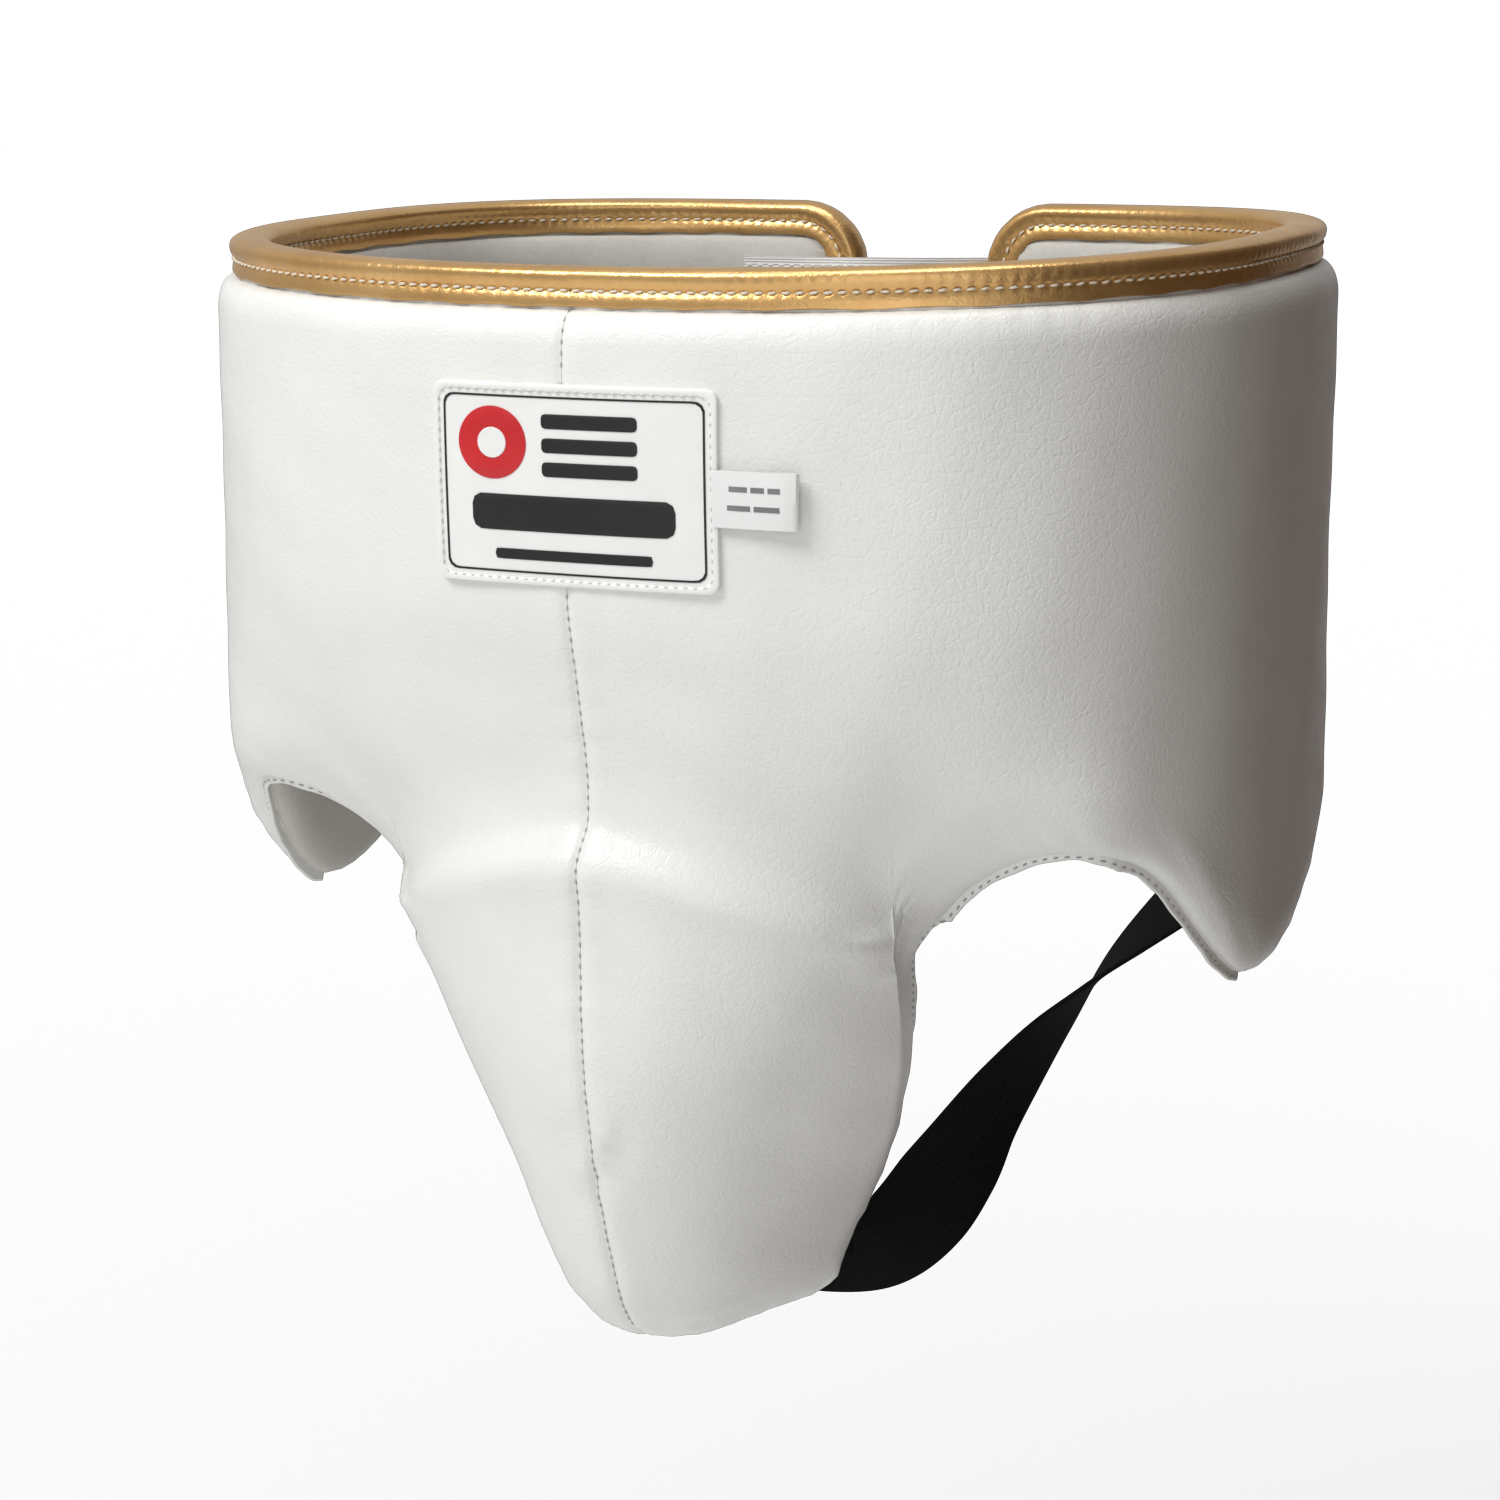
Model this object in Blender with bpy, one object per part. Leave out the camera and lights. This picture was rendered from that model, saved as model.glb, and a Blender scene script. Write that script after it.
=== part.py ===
"""Boxing groin protector: a padded waist belt with a tongue that holds a hard cup.

The belt is open at the back, where a hook-and-loop strap closes it, and two
elastic leg straps run from the tip of the tongue to the inside of the wings.

Metres, +Z up. The front faces -Y and the wearer's left is +X. The origin is the
centre of the waist opening, level with the binding's top at the sides. The skin
is laid out as a flat pattern: s is the length along the waist from the centre
front, z is the height, and depth is measured inwards from the skin.
"""

import math

import bmesh
import bpy
import mathutils
import numpy as np

# Waist outline, a superellipse through the middle of the belt's wall.
WAIST_HALF_WIDTH = 0.165
WAIST_FRONT_DEPTH = 0.128
WAIST_BACK_DEPTH = 0.134
FRONT_SQUARENESS = 2.5
BACK_SQUARENESS = 2.9
WING_END = 0.4645  # length along the waist from the centre front to the end of a wing's pads
WING_CORNER_RADIUS = 0.020
FLEX_LINE = 0.150  # where the wings bend, at the narrowest height over the leg
FLEX_CLEARANCE = 0.0015

# Wall, measured from the waist outline or inwards from the skin.
SKIN_OFFSET = 0.0105
WALL = 0.0195
TIP_WALL_SHARE = 0.68  # the wall thins to this share of itself at the tongue's tip
TIP_WALL_TOP = -0.260
TIP_WALL_BAND = 0.070
COVER_THICKNESS = 0.0012
LINING_THICKNESS = 0.0010
GAP = 0.0003
FOAM_SLACK = 0.0010  # between the foam and the loose lining
CUP_SHELL_THICKNESS = 0.003
CUP_CLEARANCE = 0.0018  # the cup sits loosely in its pocket in the foam
CUP_SLACK = 0.0005  # more room over and under each layer of the cup
RIM_COVER_DEPTH = 0.006
RIM_LINING_DEPTH = 0.015
HEM_THICKNESS = 0.0026
RIM_ROUNDING = 0.020
BOUND_DEPTH = 0.009  # the pads stay this thin under the binding
# How far the lower edge curls in, and over what width, by the place of the edge in s.
HEM_S = (0.0, 0.125, 0.150, 0.190, 0.230, WING_END)
HEM_DEPTH = (0.012, 0.012, 0.010, 0.009, 0.009, 0.006)
HEM_WIDTH = (0.026, 0.028, 0.022, 0.016, 0.020, 0.018)

# Height of the rim: it dips at the front and rises at the back and sides.
RIM = -0.003  # the pads end here, and the binding's roll stands above them
RIM_TILT = 0.005
RIM_SIDE_RISE = 0.002
RIM_FADE = 0.16

# Centre-front profile and the curvature of the tongue, both against height.
PROFILE_Z = (-0.360, -0.330, -0.300, -0.270, -0.240, -0.200, -0.170, -0.131, -0.100, -0.037, 0.003)
PROFILE_Y = (-0.0830, -0.0985, -0.1105, -0.1190, -0.1245, -0.1262, -0.1268, -0.1310, -0.1375, -0.1399, -0.1385)
BEND_Z = (-0.360, -0.330, -0.300, -0.270, -0.240, -0.210, -0.180, -0.150, -0.100, 0.003)
BEND = (40.0, 35.0, 27.0, 19.0, 13.5, 10.0, 8.0, 6.2, 5.0, 5.0)
STEEPEST_SIDE = 1.45  # radians from the front at the tongue's edge
TONGUE_TOP = -0.100
TONGUE_FULL = -0.200
TONGUE_REACH = 0.090  # how far the tongue's own section runs, above where it parts from the belt
TONGUE_REACH_LOW = 0.122  # and below there
TONGUE_PARTS = (-0.205, -0.235)
TONGUE_BLEND = 0.075
PROFILE_FADE = 0.17

# The cup's upper edge, which shows as a ridge across the front.
RIDGE_Z = -0.168
RIDGE_DROP = 0.030
RIDGE_STEP = 0.0065
RIDGE_WIDTH = 0.014
RIDGE_TO_EDGE = 0.032
RIDGE_FADES = 0.070  # from here out along s it fades into the tongue's side
RIDGE_FADE_WIDTH = 0.060
RIDGE_REACH = 0.130

# Lower edge of the pattern from the tongue's tip to the wing's end, as (s, z).
LOWER_EDGE = (
    (0.000, -0.3455), (0.020, -0.3445), (0.040, -0.3415), (0.060, -0.3405),
    (0.080, -0.3420), (0.0925, -0.3395), (0.1025, -0.3265), (0.112, -0.313),
    (0.118, -0.299), (0.119, -0.284), (0.1175, -0.269), (0.1155, -0.255),
    (0.1125, -0.242), (0.109, -0.230), (0.106, -0.219), (0.105, -0.209),
    (0.109, -0.199), (0.117, -0.1895), (0.131, -0.180), (0.148, -0.1755),
    (0.167, -0.1775), (0.181, -0.186), (0.197, -0.202), (0.213, -0.215),
    (0.2285, -0.2225), (0.2475, -0.2215), (0.268, -0.2135), (0.300, -0.193),
    (0.335, -0.167), (0.380, -0.142), (0.425, -0.126), (WING_END, -0.120),
)
TONGUE_CORNER = 0.122
LOBE_CORNER = 0.2285

# Columns of the pattern: the tongue, over the leg, the wing's bound and plain edges, its corner.
TONGUE_COLUMNS = 12
ARCH_COLUMNS = 3
LOBE_COLUMNS = 4
WING_COLUMNS = 8
CORNER_COLUMNS = (0.0, 0.54, 0.86)  # as shares of the corner's radius
CUP_COLUMNS = 9
COLUMN_TURN = 0.028  # over about this length a column turns to meet the lower edge squarely
RIM_ROWS = (0.0, BOUND_DEPTH, 0.012, 0.020)
HEM_ROWS = (0.020, 0.008, 0.0025, 0.0)
RIDGE_ROW = 6
ROWS = 12

BINDING_HALF_THICKNESS = 0.006
BINDING_WALL = 0.0012
BINDING_REACH = 0.0082  # how far it comes down over the pads
ROLL_FLATNESS = 0.5
ROLL_SIDES = 6
TRIM_HEIGHT = 0.0032
TRIM_THICKNESS = 0.0014
TRIM_CLEARANCE = 0.0006

LABEL_WIDTH = 0.089
LABEL_HEIGHT = 0.061
LABEL_CENTRE = (0.0033, -0.0642)
LABEL_THICKNESS = 0.0016
PRINT_THICKNESS = 0.0004
LABEL_MARGIN = 0.0032
LABEL_LINE = 0.0008
EMBLEM_OFFSET = (-0.0250, 0.0125)
EMBLEM_RADIUS = 0.0110
# Plain bars where a maker's words would be: offset from the label's centre, width, height.
LABEL_BARS = (
    ((0.0060, 0.0195), 0.0300, 0.0044),
    ((0.0060, 0.0123), 0.0300, 0.0044),
    ((0.0060, 0.0051), 0.0300, 0.0044),
    ((0.0000, -0.0085), 0.0640, 0.0110),
    ((0.0000, -0.0212), 0.0500, 0.0032),
)
TAG_LENGTH = 0.022
TAG_HEIGHT = 0.017
TAG_CENTRE_Z = -0.0655
TAG_THICKNESS = 0.0005

STRAP_WIDTH = 0.038
STRAP_THICKNESS = 0.0016
# Route of the left leg strap: points on its middle, and the direction of its width there.
LEG_STRAP_ROUTE = (
    ((0.0240, -0.0480, -0.3190), (-0.27, -0.09, -0.96)),
    ((0.0262, -0.0310, -0.3200), (-0.27, -0.14, -0.95)),
    ((0.0270, -0.0150, -0.3270), (-0.27, -0.05, -0.95)),
    ((0.0305, -0.0020, -0.3365), (-0.43, 0.34, -0.84)),
    ((0.0429, 0.0010, -0.3324), (0.24, 0.61, -0.75)),
    ((0.0540, 0.0035, -0.3207), (0.48, 0.62, -0.63)),
    ((0.0625, 0.0065, -0.3069), (0.50, 0.69, -0.52)),
    ((0.0714, 0.0100, -0.2907), (0.30, 0.82, -0.48)),
    ((0.0804, 0.0170, -0.2750), (0.11, 0.87, -0.48)),
    ((0.0908, 0.0250, -0.2588), (-0.08, 0.91, -0.40)),
    ((0.1012, 0.0320, -0.2451), (-0.30, 0.91, -0.29)),
    ((0.1124, 0.0410, -0.2315), (-0.49, 0.86, -0.13)),
    ((0.1255, 0.0500, -0.2176), (-0.56, 0.83, 0.05)),
    ((0.1361, 0.0555, -0.2053), (-0.55, 0.83, 0.13)),
    ((0.1430, 0.0572, -0.1934), (-0.40, 0.90, 0.16)),
    ((0.1456, 0.0565, -0.1780), (-0.27, 0.96, 0.06)),
    ((0.1460, 0.0565, -0.1500), (-0.27, 0.96, 0.00)),
)

CLOSURE_HEIGHT = 0.050
CLOSURE_TOP = -0.014
CLOSURE_THICKNESS = 0.0018
CLOSURE_SEWN = 0.425  # the root runs from here, inside the right wing, nearly to its end
CLOSURE_ROOT_INSET = 0.012
CLOSURE_LANDING = 0.015  # the free part meets the left wing this far in from its end
CLOSURE_FREE_END = 0.400
CLOSURE_HINGE = (-0.010, 0.1283)
CLOSURE_CROSSING = ((0.002, 0.1325), (0.013, 0.1385), (0.024, 0.1445))
PATCH_THICKNESS = 0.0014
CLOSURE_DEPTH = -3 * GAP - 2 * PATCH_THICKNESS
STRIP_PLACE = (0.359, 0.373)
STRIP_THICKNESS = 0.0008
STRIP_TOP = -0.026
STRIP_BOTTOM = -0.118
PATCH_MARGIN = 0.004
LOOP_PLACE = (0.4005, 0.4400)
HOOK_PLACE = (0.4035, 0.4370)


def smooth(t):
    """0 below 0, 1 above 1, and an even curve between."""
    t = np.clip(t, 0.0, 1.0)
    return t * t * (3.0 - 2.0 * t)


def curve_value(at, stations, values):
    """A smooth curve through the stations that never overshoots them."""
    x, y = np.array(stations), np.array(values)
    width = np.diff(x)
    slope = np.diff(y) / width
    same_way = slope[1:] * slope[:-1] > 0
    total = np.where(same_way, slope[1:] + slope[:-1], 1.0)
    tangent = np.concatenate([slope[:1], np.where(same_way, 2 * slope[1:] * slope[:-1] / total, 0.0), slope[-1:]])
    at = np.clip(at, x[0], x[-1])
    i = np.clip(np.searchsorted(x, at) - 1, 0, len(x) - 2)
    t = (at - x[i]) / width[i]
    start = (1 + 2 * t) * (1 - t) ** 2 * y[i] + t * (1 - t) ** 2 * width[i] * tangent[i]
    end = t * t * (3 - 2 * t) * y[i + 1] + t * t * (t - 1) * width[i] * tangent[i + 1]
    return start + end


def waist_outline():
    """The waist outline from centre front to centre back as lengths and x, y."""
    turn = np.linspace(-math.pi / 2, math.pi / 2, 6001)
    across, along = np.cos(turn), np.sin(turn)
    power = 2 / np.where(along < 0, FRONT_SQUARENESS, BACK_SQUARENESS)
    reach = np.where(along < 0, WAIST_FRONT_DEPTH, WAIST_BACK_DEPTH)
    x = WAIST_HALF_WIDTH * np.abs(across) ** power
    y = reach * np.sign(along) * np.abs(along) ** power
    length = np.concatenate([[0.0], np.cumsum(np.hypot(np.diff(x), np.diff(y)))])
    return length, x, y


OUTLINE = waist_outline()


def waist_point(s):
    """x and y on the waist outline, mirrored to the other side for negative s."""
    length, x, y = OUTLINE
    return np.sign(s) * np.interp(np.abs(s), length, x), np.interp(np.abs(s), length, y)


def waist_frame(s):
    """x and y on the waist outline, and its outward normal."""
    reach = 0.004
    x, y = waist_point(s)
    xa, ya = waist_point(s - reach)
    xb, yb = waist_point(s + reach)
    size = np.hypot(xb - xa, yb - ya)
    return x, y, (yb - ya) / size, (xa - xb) / size


def panel(s, z):
    """The point of the outer skin at s, z of the pattern, without the cup's ridge."""
    far = np.abs(s)
    x, y, nx, ny = waist_frame(s)
    front = curve_value(z, PROFILE_Z, PROFILE_Y)
    bend = curve_value(z, BEND_Z, BEND)
    tongue_x, tongue_y = 0.0, front
    nodes, weights = np.polynomial.legendre.leggauss(10)
    for node, weight in zip((nodes + 1) / 2, weights / 2):
        heading = STEEPEST_SIDE * np.tanh(bend * far * node / STEEPEST_SIDE)
        tongue_x = tongue_x + weight * np.cos(heading) * s
        tongue_y = tongue_y + weight * np.sin(heading) * far
    belt_x = x + SKIN_OFFSET * nx
    belt_y = y + SKIN_OFFSET * ny + (front - PROFILE_Y[-1]) * (1 - smooth(far / PROFILE_FADE))
    share = smooth((TONGUE_TOP - z) / (TONGUE_TOP - TONGUE_FULL))
    parted = smooth((TONGUE_PARTS[0] - z) / (TONGUE_PARTS[0] - TONGUE_PARTS[1]))
    reach = TONGUE_REACH + (TONGUE_REACH_LOW - TONGUE_REACH) * parted
    share = share * (1 - smooth((far - reach) / TONGUE_BLEND))
    rise = RIM_SIDE_RISE * (x / WAIST_HALF_WIDTH) ** 2
    rise = rise + RIM_TILT * np.where(y < 0, y / WAIST_FRONT_DEPTH, y / WAIST_BACK_DEPTH)
    height = z + rise * (1 - smooth(-z / RIM_FADE))
    return np.stack([belt_x + share * (tongue_x - belt_x), belt_y + share * (tongue_y - belt_y), height], -1)


def panel_normal(s, z):
    """The outward normal of the panel, from its slopes along and down the pattern."""
    reach = 0.0008
    along = panel(s + reach, z) - panel(s - reach, z)
    up = panel(s, z + reach) - panel(s, z - reach)
    normal = np.cross(along, up)
    return normal / np.linalg.norm(normal, axis=-1)[..., None]


def ridge_height(s):
    """Height of the cup's upper edge, which falls away to both sides."""
    return RIDGE_Z - RIDGE_DROP * (np.clip(np.abs(s), 0, RIDGE_REACH) / 0.1) ** 1.5


def below_skin(s, z, depth):
    """The point at a depth under the skin. The cup's ridge fades out through the wall."""
    s, z, depth = np.broadcast_arrays(*(np.asarray(value, float) for value in (s, z, depth)))
    point = panel(s, z) - panel_normal(s, z) * depth[..., None]
    fade = 1 - smooth((np.abs(s) - RIDGE_FADES) / RIDGE_FADE_WIDTH)
    step = RIDGE_STEP * smooth((ridge_height(s) - z) / RIDGE_WIDTH) * fade
    point[..., 1] -= step * np.clip(1 - depth / WALL, 0, None)
    return point


def lower_edge():
    """The lower edge, with a point for each column of the pattern."""
    way = np.array(LOWER_EDGE)
    way = np.vstack([way[1] * (-1, 1), way, 2 * way[-1] - way[-2]])
    dense = []
    for a, b, c, d in zip(way, way[1:], way[2:], way[3:]):
        t = np.linspace(0, 1, 40, endpoint=False)[:, None]
        bend = (2 * a - 5 * b + 4 * c - d) * t**2 + (3 * b - a - 3 * c + d) * t**3
        dense.append(0.5 * (2 * b + (c - a) * t + bend))
    dense = np.vstack(dense + [way[-2:-1]])
    length = np.concatenate([[0.0], np.cumsum(np.hypot(*np.diff(dense, axis=0).T))])
    corner = WING_END - WING_CORNER_RADIUS * (1 - np.array(CORNER_COLUMNS + (1.0,)))
    breaks = [0.0, TONGUE_CORNER, FLEX_LINE, LOBE_CORNER, *corner]
    counts = [TONGUE_COLUMNS, ARCH_COLUMNS, LOBE_COLUMNS, WING_COLUMNS] + [1] * len(CORNER_COLUMNS)
    stops = [length[np.argmax(dense[:, 0] >= at - 1e-9)] for at in breaks]
    runs = [np.linspace(a, b, n, endpoint=False) for a, b, n in zip(stops, stops[1:], counts)]
    at = np.concatenate(runs + [stops[-1:]])
    return np.stack([np.interp(at, length, dense[:, 0]), np.interp(at, length, dense[:, 1])], -1)


def upper_edge(lower):
    """Where each column starts: spread over the tongue, then straight above the lower edge."""
    s = lower[:, 0].copy()
    s[: FLEX + 1] = np.linspace(0, s[FLEX], FLEX + 1)
    turn = np.clip((s - WING_END) / WING_CORNER_RADIUS + 1, 0, 1)
    return np.stack([s, RIM + WING_CORNER_RADIUS * (np.sqrt(1 - turn**2) - 1)], -1)


def column(start, end, inward):
    """Points down one column, from the rim to the lower edge."""
    height = start[1] - end[1]
    first = start - np.array([0, 0.45 * height])
    second = end + inward * min(0.4 * height, COLUMN_TURN)
    t = np.linspace(0, 1, 200)[:, None]
    line = (1 - t) ** 3 * start + 3 * (1 - t) ** 2 * t * first + 3 * (1 - t) * t**2 * second + t**3 * end
    length = np.concatenate([[0.0], np.cumsum(np.hypot(*np.diff(line, axis=0).T))])
    ridge = ridge_height(line[:, 0]) - RIDGE_WIDTH / 2
    crossing = np.append(length[line[:, 1] <= ridge], length[-1])[0]
    crossing = min(crossing, length[-1] - RIDGE_TO_EDGE)
    upper = np.linspace(RIM_ROWS[-1], crossing, RIDGE_ROW - len(RIM_ROWS) + 2)[1:]
    below = np.linspace(crossing, length[-1] - HEM_ROWS[0], ROWS - RIDGE_ROW - len(HEM_ROWS) + 1)[1:-1]
    stops = np.concatenate([RIM_ROWS, upper, below, length[-1] - np.array(HEM_ROWS)])
    return np.stack([np.interp(stops, length, line[:, 0]), np.interp(stops, length, line[:, 1])], -1)


def pattern():
    """Columns of pattern points, with their distances from the rim and from the lower edge."""
    lower = lower_edge()
    heading = np.gradient(lower, axis=0)
    heading /= np.hypot(*heading.T)[:, None]
    inward = np.stack([-heading[:, 1], heading[:, 0]], -1)
    inward[0] = (0, 1)
    inward[FLEX:] = (0, 1)
    ends = zip(upper_edge(lower), lower, inward)
    columns = np.array([column(*end) for end in ends])
    columns[0, :, 0] = 0.0
    s, z = columns[..., 0], columns[..., 1]
    steps = np.hypot(*np.moveaxis(np.diff(columns, axis=1), -1, 0))
    hem = np.concatenate([np.cumsum(steps[:, ::-1], axis=1)[:, ::-1], np.zeros((len(lower), 1))], axis=1)
    side, down, radius = WING_END - s, RIM - z, WING_CORNER_RADIUS
    in_corner = (side < radius) & (down < radius)
    rim = np.where(in_corner, radius - np.hypot(radius - side, radius - down), np.minimum(side, down))
    return columns, np.maximum(rim, 0.0), hem


FLEX = TONGUE_COLUMNS + ARCH_COLUMNS
LOBE = FLEX + LOBE_COLUMNS
LAST = LOBE + WING_COLUMNS + len(CORNER_COLUMNS)
COLUMNS, RIM_DISTANCE, HEM_DISTANCE = pattern()


def rounding(distance, reach):
    """1 at an edge, falling to 0 at reach along a quarter round."""
    return 1 - np.sqrt(1 - (1 - np.clip(distance / reach, 0, 1)) ** 2)


def wall_depths():
    """Depths of the cover's outside and of the lining's inside at every pattern point."""
    edge_s = COLUMNS[:, -1, 0][:, None]
    hem_depth = np.interp(edge_s, HEM_S, HEM_DEPTH)
    rim = rounding(RIM_DISTANCE - BOUND_DEPTH, RIM_ROUNDING - BOUND_DEPTH)
    hem = rounding(HEM_DISTANCE, np.interp(edge_s, HEM_S, HEM_WIDTH))
    wall = WALL * (1 - (1 - TIP_WALL_SHARE) * smooth((TIP_WALL_TOP - COLUMNS[..., 1]) / TIP_WALL_BAND))
    cover = np.maximum(RIM_COVER_DEPTH * rim, hem_depth * hem)
    lining = wall + (hem_depth + HEM_THICKNESS - wall) * hem
    return cover, np.where(rim > 0, np.minimum(lining, wall - (WALL - RIM_LINING_DEPTH) * rim), lining)


COVER_DEPTH, LINING_DEPTH = wall_depths()


def material(name, colour, roughness, metallic=0.0):
    made = bpy.data.materials.new(name)
    made.use_nodes = True
    shader = made.node_tree.nodes["Principled BSDF"]
    shader.inputs["Base Color"].default_value = (*colour, 1.0)
    shader.inputs["Roughness"].default_value = roughness
    shader.inputs["Metallic"].default_value = metallic
    return made


def add_empty(name, location=(0.0, 0.0, 0.0), parent=None):
    made = bpy.data.objects.new(name, None)
    bpy.context.scene.collection.objects.link(made)
    made.parent = parent
    made.location = mathutils.Vector(location)
    if parent:
        made.location -= parent.matrix_world.translation
    bpy.context.view_layer.update()
    return made


def add_object(name, solid, look, parent, mirrored=False):
    """A closed mesh object from points and faces, with its origin at its parent empty."""
    points, faces = solid
    points = np.array(points, float) * (-1 if mirrored else 1, 1, 1)
    mesh = bpy.data.meshes.new(name)
    mesh.from_pydata((points - parent.matrix_world.translation).tolist(), [], faces)
    mesh.materials.append(look)
    bm = bmesh.new()
    bm.from_mesh(mesh)
    bmesh.ops.recalc_face_normals(bm, faces=bm.faces[:])
    if bm.calc_volume(signed=True) < 0:
        bmesh.ops.reverse_faces(bm, faces=bm.faces[:])
    bm.to_mesh(mesh)
    bm.free()
    mesh.shade_smooth()
    mesh.set_sharp_from_angle(angle=math.radians(35))
    made = bpy.data.objects.new(name, mesh)
    made.parent = parent
    bpy.context.scene.collection.objects.link(made)
    return made


def slab(outer, inner, cells, mirrored_columns=0):
    """Points and faces of a closed slab between two grids, over the chosen cells."""
    rows = outer.shape[1]
    count = outer.shape[0] * rows
    points = np.concatenate([outer.reshape(-1, 3), inner.reshape(-1, 3)])
    chosen = np.pad(cells, 1)
    faces = []
    for i, j in zip(*np.nonzero(cells)):
        a, b = i * rows + j, (i + 1) * rows + j
        corners = [a, b, b + 1, a + 1]
        beside = [chosen[i + 1, j], chosen[i + 2, j + 1], chosen[i + 1, j + 2], chosen[i, j + 1]]
        for p, q, taken in zip(corners, corners[1:] + corners[:1], beside):
            if not taken:
                wall = (p, q, count + q, count + p)
                faces.append(wall if p < q else wall[1:] + wall[:1])
        if i < mirrored_columns:
            corners = corners[1:] + corners[:1]
        faces.append((corners[0], corners[3], corners[2], corners[1]))
        faces.append(tuple(count + p for p in corners))
    used = sorted({p for face in faces for p in face})
    renamed = {old: new for new, old in enumerate(used)}
    return points[used], [tuple(renamed[p] for p in face) for face in faces]


def drawn_in(grid, flat, cells, amount):
    """The grid with the outline of the chosen cells drawn in, to keep clear of what adjoins it."""
    grid, flat = grid.swapaxes(0, 1).copy(), flat.swapaxes(0, 1)
    for chosen in (cells.any(axis=0), cells.any(axis=1)):
        taken = np.nonzero(chosen)[0]
        for at, beside in ((taken[0], taken[0] + 1), (taken[-1] + 1, taken[-1])):
            share = amount / np.linalg.norm(flat[beside] - flat[at], axis=-1)[:, None]
            grid[at] += (grid[beside] - grid[at]) * share
        grid, flat = grid.swapaxes(0, 1), flat.swapaxes(0, 1)
    return grid.swapaxes(0, 1)


def wall_layer(cells, outer_depth, inner_depth, across=False, clearance=GAP / 2):
    """One layer of the wall between two depths; across runs it over the centre front to both sides."""
    flat, mirrored_columns = COLUMNS, 0
    if across:
        mirrored_columns = LAST
        flat = np.concatenate([flat[:0:-1] * (-1, 1), flat])
        cells = np.concatenate([cells[::-1], cells])
        outer_depth = np.concatenate([outer_depth[:0:-1], outer_depth])
        inner_depth = np.concatenate([inner_depth[:0:-1], inner_depth])
    s, z = flat[..., 0], flat[..., 1]
    grids = [drawn_in(below_skin(s, z, depth), flat, cells, clearance) for depth in (outer_depth, inner_depth)]
    return slab(*grids, cells, mirrored_columns)


def cell_block(first, last, top, bottom):
    cells = np.zeros((LAST, ROWS - 1), bool)
    cells[first:last, top:bottom] = True
    return cells


def loft(rings):
    """Points and faces of a solid through rings of points, with flat ends."""
    rings = np.array(rings)
    count, size = rings.shape[:2]
    faces = [tuple(range(size)), tuple((count - 1) * size + j for j in range(size))[::-1]]
    for i in range(count - 1):
        for j in range(size):
            k = (j + 1) % size
            faces.append((i * size + k, i * size + j, (i + 1) * size + j, (i + 1) * size + k))
    return rings.reshape(-1, 3), faces


def edge_outward(edge):
    """Directions out of the pattern along an edge that runs with the pattern on its right."""
    heading = np.gradient(edge, axis=0)
    heading /= np.hypot(*heading.T)[:, None]
    return np.stack([-heading[:, 1], heading[:, 0]], -1)


def bound_edge(first, last):
    """Pattern points along the top edge, and down the wing's end where the edge reaches it."""
    edge = COLUMNS[first : last + 1, 0]
    if last == LAST:
        edge = np.concatenate([edge, COLUMNS[-1, 1:]])
    return edge


def drawn_ends(edge, amount):
    edge = edge.copy()
    for end, beyond in ((0, 1), (-1, -2)):
        step = edge[beyond] - edge[end]
        edge[end] += step / np.hypot(*step) * amount
    return edge


def binding(edge):
    """A strip folded over the bound edge, an upturned U in section with a round top."""
    edge = drawn_ends(edge, GAP / 2)
    inside = BINDING_HALF_THICKNESS - BINDING_WALL
    turns = np.linspace(0, math.pi, ROLL_SIDES + 1)
    flank = -RIM - BINDING_HALF_THICKNESS * ROLL_FLATNESS
    section = [(BINDING_HALF_THICKNESS, -BINDING_REACH)]
    section += [
        (BINDING_HALF_THICKNESS * math.cos(turn), flank + BINDING_HALF_THICKNESS * ROLL_FLATNESS * math.sin(turn))
        for turn in turns
    ]
    section += [(-BINDING_HALF_THICKNESS, -BINDING_REACH), (-inside, -BINDING_REACH)]
    section += [(-inside, GAP), (inside, GAP), (inside, -BINDING_REACH)]
    across, above = np.array(section).T
    rings = []
    for point, out in zip(edge, edge_outward(edge)):
        at = point + above[:, None] * out
        rings.append(below_skin(at[:, 0], at[:, 1], SKIN_OFFSET - across))
    return loft(rings)


def both_sides(edge):
    """An edge of the left half, carried over the centre front to the right half."""
    return np.concatenate([edge[:0:-1] * (-1, 1), edge])


def edge_trim(first, last):
    """The narrow stitched flange that stands out of the lower edge."""
    edge = drawn_ends(COLUMNS[first : last + 1, -1], TRIM_CLEARANCE)
    out = -edge_outward(edge)
    depth = np.interp(edge[:, 0], HEM_S, HEM_DEPTH) + HEM_THICKNESS / 2
    near = below_skin(edge[:, 0], edge[:, 1], depth)
    probe = edge + out * TRIM_HEIGHT
    away = below_skin(probe[:, 0], probe[:, 1], depth) - near
    away /= np.linalg.norm(away, axis=1)[:, None]
    across = panel_normal(edge[:, 0], edge[:, 1]) * TRIM_THICKNESS / 2
    start, end = near + away * TRIM_CLEARANCE, near + away * (TRIM_CLEARANCE + TRIM_HEIGHT)
    return loft(np.stack([start + across, end + across, end - across, start - across], 1))


def faceted(s, z, depth):
    """Points of the wing's wall as it is built, straight between the columns of the pattern."""
    s, z = np.broadcast_arrays(np.asarray(s, float), np.asarray(z, float))
    stations = COLUMNS[:, 0, 0]
    i = np.clip(np.searchsorted(stations, s) - 1, 0, LAST - 1)
    share = ((s - stations[i]) / (stations[i + 1] - stations[i]))[..., None]
    ends = (below_skin(stations[k], z, depth) for k in (i, i + 1))
    return next(ends) * (1 - share) + next(ends) * share


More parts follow.
